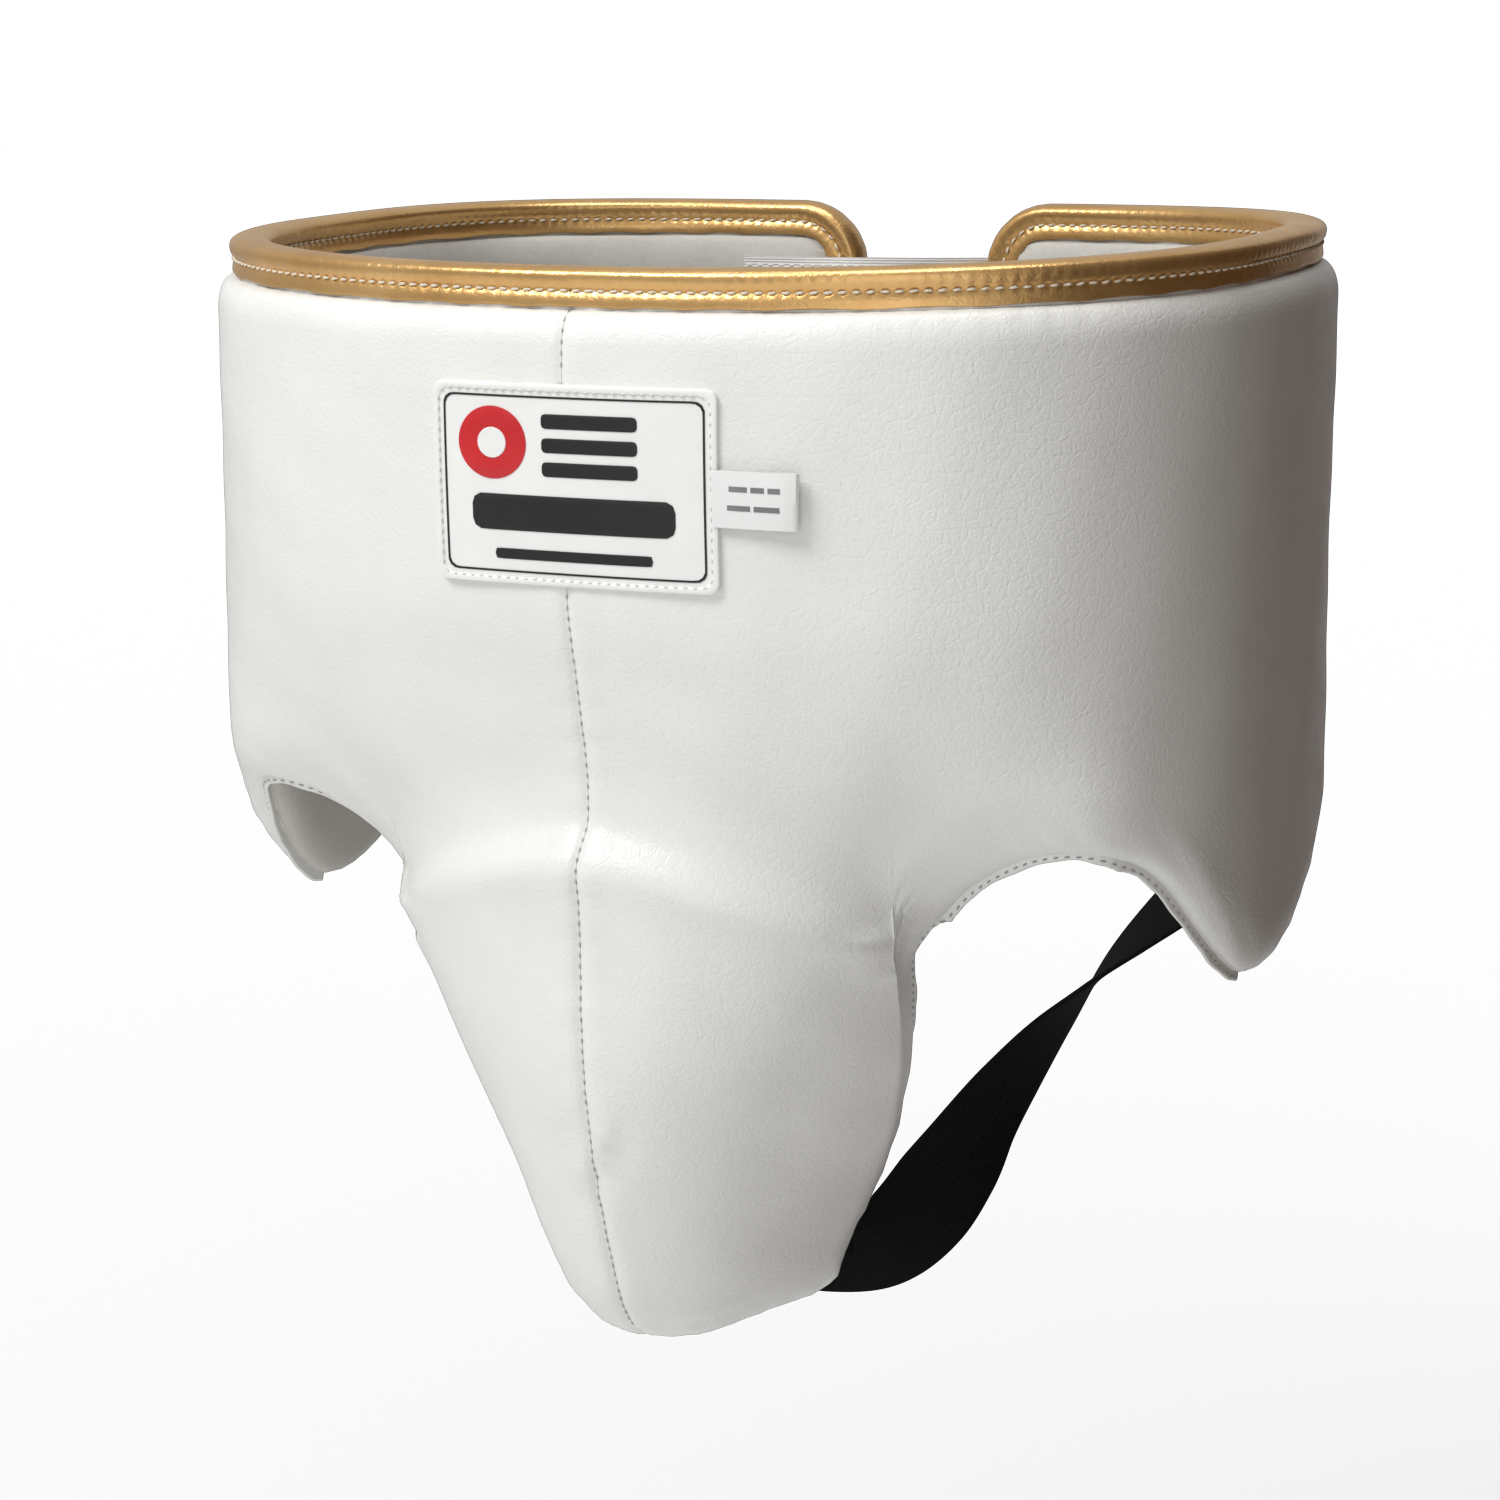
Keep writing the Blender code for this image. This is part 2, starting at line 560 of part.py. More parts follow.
def wing_stations(start, end):
    """The ends of a stretch of the wing, and the pattern's columns between them."""
    stations = COLUMNS[:, 0, 0]
    inside = stations[(stations > min(start, end) + 0.002) & (stations < max(start, end) - 0.002)]
    return np.concatenate([[start], inside if end > start else inside[::-1], [end]])


def wing_patch(start, end, bottom, top, near, far):
    """A rectangle on the wing's wall between two depths."""
    s = wing_stations(start, end)[:, None]
    z = np.array([[bottom, top]])
    return slab(faceted(s, z, near), faceted(s, z, far), np.ones((len(s) - 1, 1), bool))


def front_patch(centre, width, height, near, far, columns=10, rows=4):
    """A rectangle on the front panel between two depths."""
    s = centre[0] + np.linspace(-width / 2, width / 2, columns)[:, None]
    z = centre[1] + np.linspace(-height / 2, height / 2, rows)[None, :]
    s, z = np.broadcast_arrays(s, z)
    grids = [below_skin(s, z, depth) for depth in (near, far)]
    return slab(*grids, np.ones((columns - 1, rows - 1), bool))


def front_frame(centre, width, height, border, near, far):
    """A rectangular frame on the front panel between two depths."""
    across = np.linspace(-width / 2 + border, width / 2 - border, 9)
    up = np.linspace(-height / 2 + border, height / 2 - border, 3)
    s = centre[0] + np.concatenate([[-width / 2], across, [width / 2]])[:, None]
    z = centre[1] + np.concatenate([[-height / 2], up, [height / 2]])[None, :]
    s, z = np.broadcast_arrays(s, z)
    cells = np.ones((s.shape[0] - 1, s.shape[1] - 1), bool)
    cells[1:-1, 1:-1] = False
    grids = [below_skin(s, z, depth) for depth in (near, far)]
    return slab(*grids, cells)


def front_disc(centre, radius, sides, near, far):
    """A flat many-sided badge on the front panel between two depths."""
    turn = (np.arange(sides) + 0.5) * 2 * math.pi / sides
    s, z = centre[0] + radius * np.cos(turn), centre[1] + radius * np.sin(turn)
    return loft([below_skin(s, z, depth) for depth in (near, far)])


def ribbon(centres, sides, width, thickness):
    """A flat strip along the centres, with its width along the sides."""
    centres, sides = np.array(centres), np.array(sides)
    face = np.cross(np.gradient(centres, axis=0), sides)
    face /= np.linalg.norm(face, axis=1)[:, None]
    w, t = sides * width / 2, face * thickness / 2
    return loft(np.stack([centres + w + t, centres - w + t, centres - w - t, centres + w - t], 1))


def leg_strap():
    """The left leg strap, from the tongue's inner face to the wing's."""
    way, side = (np.array(column) for column in zip(*LEG_STRAP_ROUTE))
    heading = np.gradient(way, axis=0)
    heading /= np.linalg.norm(heading, axis=1)[:, None]
    side -= heading * (heading * side).sum(axis=1)[:, None]
    side /= np.linalg.norm(side, axis=1)[:, None]
    return ribbon(way, side, STRAP_WIDTH, STRAP_THICKNESS)


def closure_part(points):
    """An upright stretch of the closure strap through these points of its plan."""
    height = CLOSURE_TOP - CLOSURE_HEIGHT / 2
    centres = [(x, y, height) for x, y in points]
    return ribbon(centres, [(0.0, 0.0, 1.0)] * len(centres), CLOSURE_HEIGHT, CLOSURE_THICKNESS)


def closure_points():
    """Plan points of the closure strap: its sewn root, and its free part over the other wing."""
    half = CLOSURE_THICKNESS / 2
    middle = CLOSURE_TOP - CLOSURE_HEIGHT / 2
    sewn = faceted(wing_stations(CLOSURE_SEWN, WING_END - CLOSURE_ROOT_INSET), middle, WALL + GAP + half) * (-1, 1, 1)
    laid = faceted(wing_stations(WING_END - CLOSURE_LANDING, CLOSURE_FREE_END), middle, CLOSURE_DEPTH - half)
    hinge = np.array(CLOSURE_HINGE)
    way = (np.array(CLOSURE_CROSSING[0]) - hinge) / np.linalg.norm(np.array(CLOSURE_CROSSING[0]) - hinge)
    root = np.concatenate([sewn[:, :2], [hinge - way * GAP / 2]])
    free = np.concatenate([[hinge + way * GAP / 2], CLOSURE_CROSSING, laid[:, :2]])
    return root, free, hinge + np.array([-way[1], way[0]]) * (half + GAP)


def main():
    for found in list(bpy.data.objects):
        bpy.data.objects.remove(found, do_unlink=True)
    front = add_empty("front_body")
    x, y, nx, ny = waist_frame(FLEX_LINE)
    reach = SKIN_OFFSET + FLEX_CLEARANCE
    flex_axis = np.array([float(x + reach * nx), float(y + reach * ny), 0.0])
    wings = [
        add_empty("left_wing_axis", flex_axis, front),
        add_empty("right_wing_axis", flex_axis * (-1, 1, 1), front),
    ]
    root, free, peel_axis = closure_points()
    peel = add_empty("closure_axis", (peel_axis[0], peel_axis[1], 0.0), wings[1])

    white = material("white_leather", (0.83, 0.83, 0.80), 0.34)
    gold = material("gold_leather", (0.50, 0.29, 0.10), 0.28, 0.75)
    lining = material("lining_fabric", (0.72, 0.71, 0.67), 0.75)
    foam = material("foam", (0.80, 0.79, 0.72), 0.90)
    cup_foam = material("cup_foam", (0.25, 0.26, 0.28), 0.90)
    shell = material("cup_plastic", (0.86, 0.87, 0.86), 0.35)
    elastic = material("black_elastic", (0.016, 0.016, 0.018), 0.80)
    webbing = material("white_webbing", (0.80, 0.80, 0.78), 0.65)
    hook = material("hook_tape", (0.74, 0.74, 0.72), 0.80)
    loop = material("loop_tape", (0.70, 0.70, 0.68), 0.95)
    satin = material("satin_tag", (0.86, 0.86, 0.85), 0.40)
    badge = material("label_vinyl", (0.85, 0.85, 0.83), 0.30)
    ink = material("label_black", (0.02, 0.02, 0.02), 0.45)
    red = material("label_red", (0.60, 0.03, 0.03), 0.40)

    # Depths of each layer's faces, from the skin inwards.
    cover_inner = COVER_DEPTH + COVER_THICKNESS
    lining_outer = LINING_DEPTH - LINING_THICKNESS
    foam_outer, foam_inner = cover_inner + GAP, lining_outer - FOAM_SLACK
    middle = (COVER_DEPTH + LINING_DEPTH) / 2
    shell_outer, shell_inner = middle - CUP_SHELL_THICKNESS / 2, middle + CUP_SHELL_THICKNESS / 2

    front_cells = cell_block(0, FLEX, 0, ROWS - 1)
    cup_cells = cell_block(0, CUP_COLUMNS, RIDGE_ROW, ROWS - 3)
    foam_cells = cell_block(0, FLEX, 0, ROWS - 2) & ~cup_cells
    wing_cells = cell_block(FLEX, LAST, 0, ROWS - 1)
    wing_foam_cells = cell_block(FLEX, LAST, 0, ROWS - 2)

    front_layers = (
        ("front_lining", front_cells, lining_outer, LINING_DEPTH, lining, GAP / 2),
        ("front_foam", foam_cells, foam_outer, foam_inner, foam, GAP / 2),
        ("cup_cushion", cup_cells, foam_outer + CUP_SLACK, shell_outer - CUP_SLACK, cup_foam, CUP_CLEARANCE),
        ("cup_shell", cup_cells, shell_outer, shell_inner, shell, CUP_CLEARANCE),
        ("cup_back_pad", cup_cells, shell_inner + CUP_SLACK, foam_inner - CUP_SLACK, cup_foam, CUP_CLEARANCE),
    )
    for name, cells, outer, inner, look, clearance in front_layers:
        add_object(name, wall_layer(cells, outer, inner, True, clearance), look, front)
    add_object("front_binding", binding(both_sides(bound_edge(0, FLEX))), gold, front)

    for side, mirrored, wing in zip(("left", "right"), (False, True), wings):
        front_half = (
            ("front_cover", wall_layer(front_cells, COVER_DEPTH, cover_inner), white),
            ("front_edge_trim", edge_trim(0, FLEX), white),
            ("leg_strap", leg_strap(), elastic),
        )
        for name, solid, look in front_half:
            add_object(f"{name}_{side}", solid, look, front, mirrored)
        strip = wing_patch(*STRIP_PLACE, STRIP_BOTTOM, STRIP_TOP, WALL + GAP, WALL + GAP + STRIP_THICKNESS)
        wing_parts = (
            ("wing_cover", wall_layer(wing_cells, COVER_DEPTH, cover_inner), white),
            ("wing_foam", wall_layer(wing_foam_cells, foam_outer, foam_inner), foam),
            ("wing_lining", wall_layer(wing_cells, lining_outer, LINING_DEPTH), lining),
            ("wing_binding", binding(bound_edge(FLEX, LAST)), gold),
            ("wing_edge_trim", edge_trim(FLEX, LOBE), white),
            ("lining_strip", strip, lining),
        )
        for name, solid, look in wing_parts:
            add_object(f"{name}_{side}", solid, look, wing, mirrored)

    label_front = -GAP - LABEL_THICKNESS
    print_far = label_front - GAP
    print_near = print_far - PRINT_THICKNESS
    label = front_patch(LABEL_CENTRE, LABEL_WIDTH, LABEL_HEIGHT, label_front, -GAP)
    add_object("label_patch", label, badge, front)
    rim = (LABEL_WIDTH - 2 * LABEL_MARGIN, LABEL_HEIGHT - 2 * LABEL_MARGIN)
    border = front_frame(LABEL_CENTRE, *rim, LABEL_LINE, print_near, print_far)
    add_object("label_border", border, ink, front)
    place = np.array(LABEL_CENTRE)
    emblem = front_disc(place + EMBLEM_OFFSET, EMBLEM_RADIUS, 8, print_near, print_far)
    add_object("label_emblem", emblem, red, front)
    for number, (offset, width, height) in enumerate(LABEL_BARS, 1):
        bar = front_patch(place + offset, width, height, print_near, print_far, 7, 2)
        add_object(f"label_bar_{number}", bar, ink, front)
    tag_s = LABEL_CENTRE[0] + LABEL_WIDTH / 2 + GAP + TAG_LENGTH / 2
    tag = front_patch((tag_s, TAG_CENTRE_Z), TAG_LENGTH, TAG_HEIGHT, -GAP - TAG_THICKNESS, -GAP, 4, 2)
    add_object("side_tag", tag, satin, front)

    bottom, top = CLOSURE_TOP - CLOSURE_HEIGHT + PATCH_MARGIN, CLOSURE_TOP - PATCH_MARGIN
    loop_patch = wing_patch(*LOOP_PLACE, bottom, top, -GAP - PATCH_THICKNESS, -GAP)
    add_object("loop_patch", loop_patch, loop, wings[0])
    add_object("closure_root", closure_part(root), webbing, wings[1])
    add_object("closure_strap", closure_part(free), webbing, peel)
    near, far = CLOSURE_DEPTH + GAP, CLOSURE_DEPTH + GAP + PATCH_THICKNESS
    add_object("hook_patch", wing_patch(*HOOK_PLACE, bottom, top, near, far), hook, peel)


main()
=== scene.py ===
"""Looks of the boxing groin protector, built over its packed collision model.

Metres, +Z up, the front faces -Y and the wearer's left is +X. Surfaces are laid out
on the same flat pattern as the model: s along the waist from the centre front,
z the height, and a depth inwards from the skin. Each half of the belt is one set of
pieces that runs from the front, past the line over the leg, to its wing.
"""

import math

import bmesh
import bpy
import numpy as np
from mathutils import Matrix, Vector


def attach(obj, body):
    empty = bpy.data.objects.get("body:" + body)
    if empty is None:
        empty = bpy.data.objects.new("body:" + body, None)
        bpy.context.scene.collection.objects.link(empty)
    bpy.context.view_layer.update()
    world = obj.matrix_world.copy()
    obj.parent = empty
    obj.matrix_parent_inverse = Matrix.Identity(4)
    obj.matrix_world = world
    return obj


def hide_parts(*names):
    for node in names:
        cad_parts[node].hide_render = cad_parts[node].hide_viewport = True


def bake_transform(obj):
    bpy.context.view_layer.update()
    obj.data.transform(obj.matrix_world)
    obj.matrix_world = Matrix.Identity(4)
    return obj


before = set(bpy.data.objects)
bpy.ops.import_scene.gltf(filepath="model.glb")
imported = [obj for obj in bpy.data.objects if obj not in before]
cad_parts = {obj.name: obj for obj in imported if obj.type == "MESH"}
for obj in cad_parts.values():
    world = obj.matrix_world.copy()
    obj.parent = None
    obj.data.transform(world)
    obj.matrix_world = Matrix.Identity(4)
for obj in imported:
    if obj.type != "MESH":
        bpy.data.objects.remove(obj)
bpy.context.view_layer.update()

# Waist outline, a superellipse through the middle of the belt's wall.
WAIST_HALF_WIDTH = 0.165
WAIST_FRONT_DEPTH = 0.128
WAIST_BACK_DEPTH = 0.134
FRONT_SQUARENESS = 2.5
BACK_SQUARENESS = 2.9
WING_END = 0.4645  # length along the waist from the centre front to the end of a wing's pads
WING_CORNER_RADIUS = 0.020
FLEX_LINE = 0.150  # where the wings bend, at the narrowest height over the leg

# Wall, measured from the waist outline or inwards from the skin.
SKIN_OFFSET = 0.0105
WALL = 0.0195
TIP_WALL_SHARE = 0.68  # the wall thins to this share of itself at the tongue's tip
TIP_WALL_TOP = -0.260
TIP_WALL_BAND = 0.070
COVER_THICKNESS = 0.0012
LINING_THICKNESS = 0.0010
GAP = 0.0003
FOAM_UNDER_COVER = 0.0030  # clear of the cover's relief
FOAM_OVER_LINING = 0.0012
CUSHION_UNDER_COVER = 0.0022
CUP_SHELL_THICKNESS = 0.003
RIM_COVER_DEPTH = 0.006
RIM_LINING_DEPTH = 0.015
HEM_THICKNESS = 0.0026
RIM_ROUNDING = 0.020
BOUND_DEPTH = 0.009  # the pads stay this thin under the binding
# How far the lower edge curls in, and over what width, by the place of the edge in s.
HEM_S = (0.0, 0.125, 0.150, 0.190, 0.230, WING_END)
HEM_DEPTH = (0.012, 0.012, 0.010, 0.009, 0.009, 0.006)
HEM_WIDTH = (0.026, 0.028, 0.022, 0.016, 0.020, 0.018)

# Height of the rim: it dips at the front and rises at the back and sides.
RIM = -0.003  # the pads end here, and the binding's roll stands above them
RIM_TILT = 0.005
RIM_SIDE_RISE = 0.002
RIM_FADE = 0.16

# Centre-front profile and the curvature of the tongue, both against height.
PROFILE_Z = (-0.360, -0.330, -0.300, -0.270, -0.240, -0.200, -0.170, -0.131, -0.100, -0.037, 0.003)
PROFILE_Y = (
    -0.0830, -0.0985, -0.1105, -0.1190, -0.1245, -0.1262, -0.1268, -0.1310, -0.1375, -0.1399, -0.1385,
)
BEND_Z = (-0.360, -0.330, -0.300, -0.270, -0.240, -0.210, -0.180, -0.150, -0.100, 0.003)
BEND = (40.0, 35.0, 27.0, 19.0, 13.5, 10.0, 8.0, 6.2, 5.0, 5.0)
STEEPEST_SIDE = 1.45  # radians from the front at the tongue's edge
TONGUE_TOP = -0.100
TONGUE_FULL = -0.200
TONGUE_REACH = 0.090  # how far the tongue's own section runs, above where it parts from the belt
TONGUE_REACH_LOW = 0.122  # and below there
TONGUE_PARTS = (-0.205, -0.235)
TONGUE_BLEND = 0.075
PROFILE_FADE = 0.17

# The cup's upper edge, which shows as a ridge across the front.
RIDGE_Z = -0.168
RIDGE_DROP = 0.030
RIDGE_STEP = 0.0065
RIDGE_WIDTH = 0.014
RIDGE_TO_EDGE = 0.032
RIDGE_FADES = 0.070  # from here out along s it fades into the tongue's side
RIDGE_FADE_WIDTH = 0.060
RIDGE_REACH = 0.130

# Lower edge of the pattern from the tongue's tip to the wing's end, as (s, z).
LOWER_EDGE = (
    (0.000, -0.3455), (0.020, -0.3445), (0.040, -0.3415), (0.060, -0.3405),
    (0.080, -0.3420), (0.0925, -0.3395), (0.1025, -0.3265), (0.112, -0.313),
    (0.118, -0.299), (0.119, -0.284), (0.1175, -0.269), (0.1155, -0.255),
    (0.1125, -0.242), (0.109, -0.230), (0.106, -0.219), (0.105, -0.209),
    (0.109, -0.199), (0.117, -0.1895), (0.131, -0.180), (0.148, -0.1755),
    (0.167, -0.1775), (0.181, -0.186), (0.197, -0.202), (0.213, -0.215),
    (0.2285, -0.2225), (0.2475, -0.2215), (0.268, -0.2135), (0.300, -0.193),
    (0.335, -0.167), (0.380, -0.142), (0.425, -0.126), (WING_END, -0.120),
)
TONGUE_CORNER = 0.122
LOBE_CORNER = 0.2285

COLUMN_TURN = 0.028  # over about this length a column turns to meet the lower edge squarely
COLUMN_START_PULL = 0.45  # share of its height over which a column keeps straight down from the rim
COLUMN_END_PULL = 0.4
RIM_ROWS = (0.0, BOUND_DEPTH, 0.012, 0.020)
HEM_ROWS = (0.020, 0.008, 0.0025, 0.0)
RIDGE_ROW = 6
ROWS = 12

TRIM_HEIGHT = 0.0032
TRIM_THICKNESS = 0.0014
TRIM_CLEARANCE = 0.0006

LABEL_WIDTH = 0.089
LABEL_HEIGHT = 0.061
LABEL_CENTRE = (0.0033, -0.0642)
EMBLEM_OFFSET = (-0.0250, 0.0125)
EMBLEM_RADIUS = 0.0110
# Plain bars where a maker's words would be: offset from the label's centre, width, height.
LABEL_BARS = (
    ((0.0060, 0.0195), 0.0300, 0.0044),
    ((0.0060, 0.0123), 0.0300, 0.0044),
    ((0.0060, 0.0051), 0.0300, 0.0044),
    ((0.0000, -0.0085), 0.0640, 0.0110),
    ((0.0000, -0.0212), 0.0500, 0.0032),
)
TAG_HEIGHT = 0.017
TAG_CENTRE_Z = -0.0655

STRAP_WIDTH = 0.038
STRAP_THICKNESS = 0.0016
# Route of the left leg strap: points on its middle, and the direction of its width there.
LEG_STRAP_ROUTE = (
    ((0.0240, -0.0480, -0.3190), (-0.27, -0.09, -0.96)),
    ((0.0262, -0.0310, -0.3200), (-0.27, -0.14, -0.95)),
    ((0.0270, -0.0150, -0.3270), (-0.27, -0.05, -0.95)),
    ((0.0305, -0.0020, -0.3365), (-0.43, 0.34, -0.84)),
    ((0.0429, 0.0010, -0.3324), (0.24, 0.61, -0.75)),
    ((0.0540, 0.0035, -0.3207), (0.48, 0.62, -0.63)),
    ((0.0625, 0.0065, -0.3069), (0.50, 0.69, -0.52)),
    ((0.0714, 0.0100, -0.2907), (0.30, 0.82, -0.48)),
    ((0.0804, 0.0170, -0.2750), (0.11, 0.87, -0.48)),
    ((0.0908, 0.0250, -0.2588), (-0.08, 0.91, -0.40)),
    ((0.1012, 0.0320, -0.2451), (-0.30, 0.91, -0.29)),
    ((0.1124, 0.0410, -0.2315), (-0.49, 0.86, -0.13)),
    ((0.1255, 0.0500, -0.2176), (-0.56, 0.83, 0.05)),
    ((0.1361, 0.0555, -0.2053), (-0.55, 0.83, 0.13)),
    ((0.1430, 0.0572, -0.1934), (-0.40, 0.90, 0.16)),
    ((0.1456, 0.0565, -0.1780), (-0.27, 0.96, 0.06)),
    ((0.1460, 0.0565, -0.1500), (-0.27, 0.96, 0.00)),
)

CLOSURE_HEIGHT = 0.050
CLOSURE_TOP = -0.014
CLOSURE_THICKNESS = 0.0018
CLOSURE_SEWN = 0.425  # the root runs from here, inside the right wing, nearly to its end
CLOSURE_ROOT_INSET = 0.012
CLOSURE_LANDING = 0.015  # the free part meets the left wing this far in from its end
CLOSURE_FREE_END = 0.400
CLOSURE_HINGE = (-0.010, 0.1283)
CLOSURE_CROSSING = ((0.002, 0.1325), (0.013, 0.1385), (0.024, 0.1445))
PATCH_THICKNESS = 0.0014
CLOSURE_DEPTH = -3 * GAP - 2 * PATCH_THICKNESS
STRIP_PLACE = (0.359, 0.373)
STRIP_THICKNESS = 0.0008
STRIP_TOP = -0.026
STRIP_BOTTOM = -0.118
PATCH_MARGIN = 0.004
LOOP_PLACE = (0.4005, 0.4400)
HOOK_PLACE = (0.4035, 0.4370)


def smooth(t):
    """0 below 0, 1 above 1, and an even curve between."""
    t = np.clip(t, 0.0, 1.0)
    return t * t * (3.0 - 2.0 * t)


def curve_value(at, stations, values):
    """A smooth curve through the stations that never overshoots them."""
    x, y = np.array(stations), np.array(values)
    width = np.diff(x)
    slope = np.diff(y) / width
    same_way = slope[1:] * slope[:-1] > 0
    total = np.where(same_way, slope[1:] + slope[:-1], 1.0)
    between = np.where(same_way, 2 * slope[1:] * slope[:-1] / total, 0.0)
    tangent = np.concatenate([slope[:1], between, slope[-1:]])
    at = np.clip(at, x[0], x[-1])
    i = np.clip(np.searchsorted(x, at) - 1, 0, len(x) - 2)
    t = (at - x[i]) / width[i]
    start = (1 + 2 * t) * (1 - t) ** 2 * y[i] + t * (1 - t) ** 2 * width[i] * tangent[i]
    end = t * t * (3 - 2 * t) * y[i + 1] + t * t * (t - 1) * width[i] * tangent[i + 1]
    return start + end


def waist_outline():
    """The waist outline from centre front to centre back as lengths and x, y."""
    turn = np.linspace(-math.pi / 2, math.pi / 2, 6001)
    across, along = np.cos(turn), np.sin(turn)
    power = 2 / np.where(along < 0, FRONT_SQUARENESS, BACK_SQUARENESS)
    reach = np.where(along < 0, WAIST_FRONT_DEPTH, WAIST_BACK_DEPTH)
    x = WAIST_HALF_WIDTH * np.abs(across) ** power
    y = reach * np.sign(along) * np.abs(along) ** power
    length = np.concatenate([[0.0], np.cumsum(np.hypot(np.diff(x), np.diff(y)))])
    return length, x, y


OUTLINE = waist_outline()


def waist_point(s):
    """x and y on the waist outline, mirrored to the other side for negative s."""
    length, x, y = OUTLINE
    return np.sign(s) * np.interp(np.abs(s), length, x), np.interp(np.abs(s), length, y)


def waist_frame(s):
    """x and y on the waist outline, and its outward normal."""
    reach = 0.004
    x, y = waist_point(s)
    xa, ya = waist_point(s - reach)
    xb, yb = waist_point(s + reach)
    size = np.hypot(xb - xa, yb - ya)
    return x, y, (yb - ya) / size, (xa - xb) / size


def panel(s, z):
    """The point of the outer skin at s, z of the pattern, without the cup's ridge."""
    far = np.abs(s)
    x, y, nx, ny = waist_frame(s)
    front = curve_value(z, PROFILE_Z, PROFILE_Y)
    bend = curve_value(z, BEND_Z, BEND)
    tongue_x, tongue_y = 0.0, front
    nodes, weights = np.polynomial.legendre.leggauss(10)
    for node, weight in zip((nodes + 1) / 2, weights / 2):
        heading = STEEPEST_SIDE * np.tanh(bend * far * node / STEEPEST_SIDE)
        tongue_x = tongue_x + weight * np.cos(heading) * s
        tongue_y = tongue_y + weight * np.sin(heading) * far
    belt_x = x + SKIN_OFFSET * nx
    belt_y = y + SKIN_OFFSET * ny + (front - PROFILE_Y[-1]) * (1 - smooth(far / PROFILE_FADE))
    share = smooth((TONGUE_TOP - z) / (TONGUE_TOP - TONGUE_FULL))
    parted = smooth((TONGUE_PARTS[0] - z) / (TONGUE_PARTS[0] - TONGUE_PARTS[1]))
    reach = TONGUE_REACH + (TONGUE_REACH_LOW - TONGUE_REACH) * parted
    share = share * (1 - smooth((far - reach) / TONGUE_BLEND))
    rise = RIM_SIDE_RISE * (x / WAIST_HALF_WIDTH) ** 2
    rise = rise + RIM_TILT * np.where(y < 0, y / WAIST_FRONT_DEPTH, y / WAIST_BACK_DEPTH)
    height = z + rise * (1 - smooth(-z / RIM_FADE))
    return np.stack([belt_x + share * (tongue_x - belt_x), belt_y + share * (tongue_y - belt_y), height], -1)


def panel_normal(s, z):
    """The outward normal of the panel, from its slopes along and down the pattern."""
    reach = 0.0008
    along = panel(s + reach, z) - panel(s - reach, z)
    up = panel(s, z + reach) - panel(s, z - reach)
    normal = np.cross(along, up)
    return normal / np.linalg.norm(normal, axis=-1)[..., None]


def ridge_height(s):
    """Height of the cup's upper edge, which falls away to both sides."""
    return RIDGE_Z - RIDGE_DROP * (np.clip(np.abs(s), 0, RIDGE_REACH) / 0.1) ** 1.5


def below_skin(s, z, depth):
    """The point at a depth under the skin. The cup's ridge fades out through the wall."""
    s, z, depth = np.broadcast_arrays(*(np.asarray(value, float) for value in (s, z, depth)))
    point = panel(s, z) - panel_normal(s, z) * depth[..., None]
    fade = 1 - smooth((np.abs(s) - RIDGE_FADES) / RIDGE_FADE_WIDTH)
    step = RIDGE_STEP * smooth((ridge_height(s) - z) / RIDGE_WIDTH) * fade
    point[..., 1] -= step * np.clip(1 - depth / WALL, 0, None)
    return point


# Columns and rows of the pattern, numbered as in the collision model with finer ones between.
TONGUE, FLEX, LOBE, WING_TOP = 12, 15, 19, 27
COLUMN_NUMBERS = np.concatenate([(np.arange(10) / 10) ** 1.8, np.arange(1, WING_TOP + 0.01, 0.25)])
CORNER_STEPS = 8
ROW_STEPS = (5, 3, 6, 10, 11, 18, 18, 13, 8, 5, 4)
ROW_NUMBERS = np.append(np.concatenate([i + np.arange(n) / n for i, n in enumerate(ROW_STEPS)]), ROWS - 1)


def lower_edge():
    """The lower edge, with a point for each column of the pattern."""
    way = np.array(LOWER_EDGE)
    way = np.vstack([way[1] * (-1, 1), way, 2 * way[-1] - way[-2]])
    dense = []
    for a, b, c, d in zip(way, way[1:], way[2:], way[3:]):
        t = np.linspace(0, 1, 40, endpoint=False)[:, None]
        bend = (2 * a - 5 * b + 4 * c - d) * t**2 + (3 * b - a - 3 * c + d) * t**3
        dense.append(0.5 * (2 * b + (c - a) * t + bend))
    dense = np.vstack(dense + [way[-2:-1]])
    length = np.concatenate([[0.0], np.cumsum(np.hypot(*np.diff(dense, axis=0).T))])
    turn = np.sin(np.arange(CORNER_STEPS + 1) * math.pi / 2 / CORNER_STEPS)
    corner = WING_END - WING_CORNER_RADIUS * (1 - turn)
    landmarks = (0.0, TONGUE_CORNER, FLEX_LINE, LOBE_CORNER, *corner)
    stops = [length[np.argmax(dense[:, 0] >= s - 1e-9)] for s in landmarks]
    at = np.interp(COLUMN_NUMBERS, (0, TONGUE, FLEX, LOBE, WING_TOP), stops[:5])
    at = np.concatenate([at, stops[5:]])
    return np.stack([np.interp(at, length, dense[:, 0]), np.interp(at, length, dense[:, 1])], -1)


def upper_edge(lower):
    """Where each column starts: spread over the tongue, then straight above the lower edge."""
    s = lower[:, 0].copy()
    s[: FLEX_AT + 1] = s[FLEX_AT] * COLUMN_NUMBERS[: FLEX_AT + 1] / FLEX
    turn = np.clip((s - WING_END) / WING_CORNER_RADIUS + 1, 0, 1)
    return np.stack([s, RIM + WING_CORNER_RADIUS * (np.sqrt(1 - turn**2) - 1)], -1)


